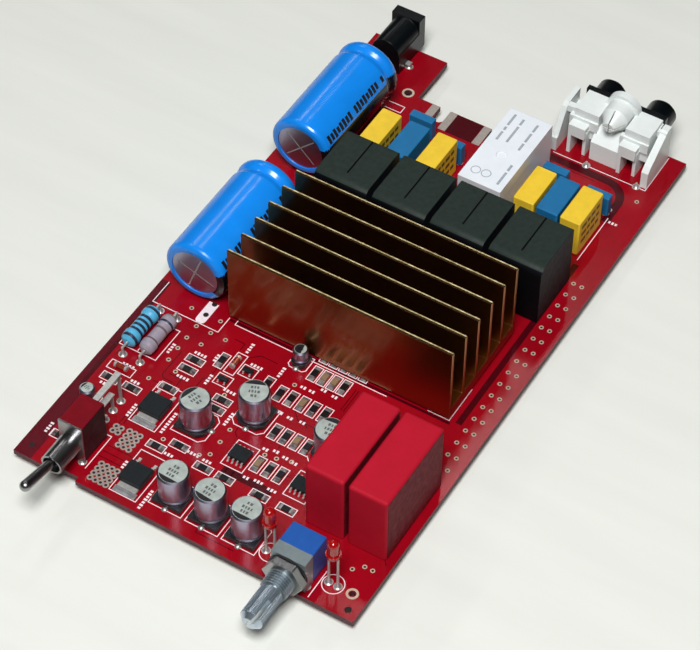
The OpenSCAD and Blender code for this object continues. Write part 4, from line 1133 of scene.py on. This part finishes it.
def bush_thread():
    """Helical thread ridge on the free stretch of the volume bush."""
    nut_low, nut_high = (to_board(p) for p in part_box("volume_nut"))
    bush_low = to_board(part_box("volume_front")[0])
    x, z = (nut_low.x + nut_high.x) / 2, (nut_low.z + nut_high.z) / 2
    start, end = bush_low.y + 0.35, nut_low.y - 0.3
    count = int((end - start) / THREAD_PITCH * THREAD_STEPS)
    section = (
        (THREAD_ROOT_R, -0.27), (THREAD_CREST_R, -0.04), (THREAD_CREST_R, 0.04), (THREAD_ROOT_R, 0.27),
    )
    rings = []
    for i in range(count + 1):
        a = 2 * math.pi * i / THREAD_STEPS
        y = start + THREAD_PITCH * i / THREAD_STEPS
        rings.append([at(x + r * math.cos(a), y + dy, z + r * math.sin(a)) for r, dy in section])
    bm = bmesh.new()
    loft(bm, rings)
    make_piece("volume_bush_thread", bm, THREAD_GREY)


SHAFT_R = 3.0
KNURL_COUNT = 36
KNURL_RISE = 0.13
SHAFT_SLOT_ANGLE = 35


def shaft_knurl():
    """Straight knurl ridges on the split end of the volume shaft."""
    low, high = (to_board(p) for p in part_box("volume_shaft"))
    bush_low = to_board(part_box("volume_front")[0])
    x, z = (low.x + high.x) / 2, (low.z + high.z) / 2
    root_r, crest_r, half = SHAFT_R - 0.05, SHAFT_R + KNURL_RISE, 2.7
    y0, y1, slot_end = low.y + 1.3, bush_low.y - 0.6, low.y + 6.5
    bm = bmesh.new()
    for k in range(KNURL_COUNT):
        a = 360 * k / KNURL_COUNT
        from_slot = abs((a + SHAFT_SLOT_ANGLE) % 180 - 90)
        first = slot_end + 0.1 if from_slot < 12 else y0
        section = [(root_r, a - half), (crest_r, a - 0.6), (crest_r, a + 0.6), (root_r, a + half)]
        spots = [(x + r * math.cos(math.radians(b)), z + r * math.sin(math.radians(b))) for r, b in section]
        loft(bm, [[at(px, y, pz) for px, pz in spots] for y in (first, y1)])
    make_piece("volume_shaft_knurl", bm, FINISHES["control_steel"], body="shaft")


bush_thread()
shaft_knurl()


# Floor, light and camera

FLOOR_PALE = srgb(225, 227, 220)
FLOOR_BOUNCE = srgb(150, 148, 140)
FLOOR_HALF = 3.0
BACKDROP = srgb(224, 226, 219)


def combine(tree, operation, a, b):
    """One step of arithmetic on two sockets."""
    node = tree.nodes.new("ShaderNodeMath")
    node.operation = operation
    tree.links.new(a, node.inputs[0])
    tree.links.new(b, node.inputs[1])
    return node.outputs[0]


def floor_material():
    """Pale to the camera and in metal, darker where it only throws light back at the part."""
    material = finish(
        "floor_cream", FLOOR_PALE, 0.55, vary=0.025, cell=9, stretch=(0.12, 1, 1), bump=0.02, bump_cell=2,
    )
    tree = material.node_tree
    bounce = tree.nodes.new("ShaderNodeBsdfDiffuse")
    bounce.inputs["Color"].default_value = FLOOR_BOUNCE
    light_path = tree.nodes.new("ShaderNodeLightPath")
    seen = light_path.outputs["Is Camera Ray"]
    for output in ("Is Glossy Ray", "Is Transmission Ray"):
        seen = combine(tree, "MAXIMUM", seen, light_path.outputs[output])
    blend = tree.nodes.new("ShaderNodeMixShader")
    tree.links.new(seen, blend.inputs[0])
    tree.links.new(bounce.outputs[0], blend.inputs[1])
    tree.links.new(tree.nodes["Principled BSDF"].outputs[0], blend.inputs[2])
    tree.links.new(blend.outputs[0], tree.nodes["Material Output"].inputs["Surface"])
    return material


def make_floor():
    """Plain square that the part stands on."""
    bm = bmesh.new()
    corners = rectangle(-FLOOR_HALF, -FLOOR_HALF, FLOOR_HALF, FLOOR_HALF)
    bm.faces.new([bm.verts.new((x, y, 0)) for x, y in corners])
    mesh = bpy.data.meshes.new("floor")
    bm.to_mesh(mesh)
    bm.free()
    mesh.materials.append(floor_material())
    floor = bpy.data.objects.new("floor", mesh)
    bpy.context.scene.collection.objects.link(floor)


def area_light(name, place, target, size, power):
    """Rectangular lamp whose first size runs along Y."""
    lamp = bpy.data.lights.new(name, "AREA")
    lamp.shape = "RECTANGLE"
    lamp.size, lamp.size_y = size
    lamp.energy = power
    holder = bpy.data.objects.new(name, lamp)
    back = (Vector(place) - Vector(target)).normalized()
    side = Vector((0, 1, 0))
    side = (side - back * side.dot(back)).normalized()
    turn = Matrix((side, back.cross(side), back)).transposed().to_4x4()
    holder.matrix_world = Matrix.Translation(place) @ turn
    bpy.context.scene.collection.objects.link(holder)


KEY_SIDE = (0.2, -0.4, 0.89)


def make_world():
    """Soft sky, bright on the key side, with low haze for metal and a pale backdrop for the camera."""
    world = bpy.data.worlds.new("studio")
    bpy.context.scene.world = world
    world.use_nodes = True
    tree = world.node_tree
    sky = tree.nodes["Background"]
    coords = tree.nodes.new("ShaderNodeTexCoord")
    toward_key = tree.nodes.new("ShaderNodeVectorMath")
    toward_key.operation = "DOT_PRODUCT"
    toward_key.inputs[1].default_value = KEY_SIDE
    tree.links.new(coords.outputs["Generated"], toward_key.inputs[0])
    glow = map_range(tree, toward_key.outputs["Value"], 0.3, 1.0, 0.08, 0.7)
    light_path = tree.nodes.new("ShaderNodeLightPath")
    axes = tree.nodes.new("ShaderNodeSeparateXYZ")
    tree.links.new(coords.outputs["Generated"], axes.inputs[0])
    haze = map_range(tree, axes.outputs["Z"], 0.0, 0.4, 0.25, 0.0)
    metal_haze = combine(tree, "MULTIPLY", haze, light_path.outputs["Is Glossy Ray"])
    tree.links.new(combine(tree, "ADD", glow, metal_haze), sky.inputs["Strength"])
    backdrop = tree.nodes.new("ShaderNodeBackground")
    backdrop.inputs["Color"].default_value = BACKDROP
    blend = tree.nodes.new("ShaderNodeMixShader")
    tree.links.new(light_path.outputs["Is Camera Ray"], blend.inputs[0])
    tree.links.new(sky.outputs[0], blend.inputs[1])
    tree.links.new(backdrop.outputs[0], blend.inputs[2])
    tree.links.new(blend.outputs[0], tree.nodes["World Output"].inputs["Surface"])


CAMERA_PLACE = at(276.76, -303.98, 523.02)
CAMERA_RIGHT = (0.855334, 0.518023, 0.007473)
CAMERA_DOWN = (0.398945, -0.649379, -0.647418)
CAMERA_AHEAD = (-0.330525, 0.556740, -0.762099)
CAMERA_LENS = 137.24


def make_camera():
    """Long lens placed as the photograph was taken."""
    camera = bpy.data.cameras.new("camera")
    camera.sensor_fit = "HORIZONTAL"
    camera.sensor_width = 36
    camera.lens = CAMERA_LENS
    camera.clip_start, camera.clip_end = 0.01, 20
    holder = bpy.data.objects.new("camera", camera)
    right, up, back = Vector(CAMERA_RIGHT), -Vector(CAMERA_DOWN), -Vector(CAMERA_AHEAD)
    turn = Matrix((right, up, back)).transposed().to_4x4()
    holder.matrix_world = Matrix.Translation(CAMERA_PLACE) @ turn
    bpy.context.scene.collection.objects.link(holder)
    bpy.context.scene.camera = holder


make_floor()
make_world()
area_light("key", place=(0.22, -0.47, 1.07), target=(0, 0, 0), size=(0.4, 0.4), power=16)
area_light("sleeve_strip", place=(-0.8, 0.62, 1.0), target=(-0.04, 0.02, 0.02), size=(1.0, 0.06), power=1.6)
area_light("edge_strip", place=(-0.27, 0.62, 1.0), target=(0.045, -0.03, 0), size=(0.26, 0.04), power=0.45)
make_camera()
bpy.context.scene.view_settings.view_transform = "Standard"

bpy.context.view_layer.update()
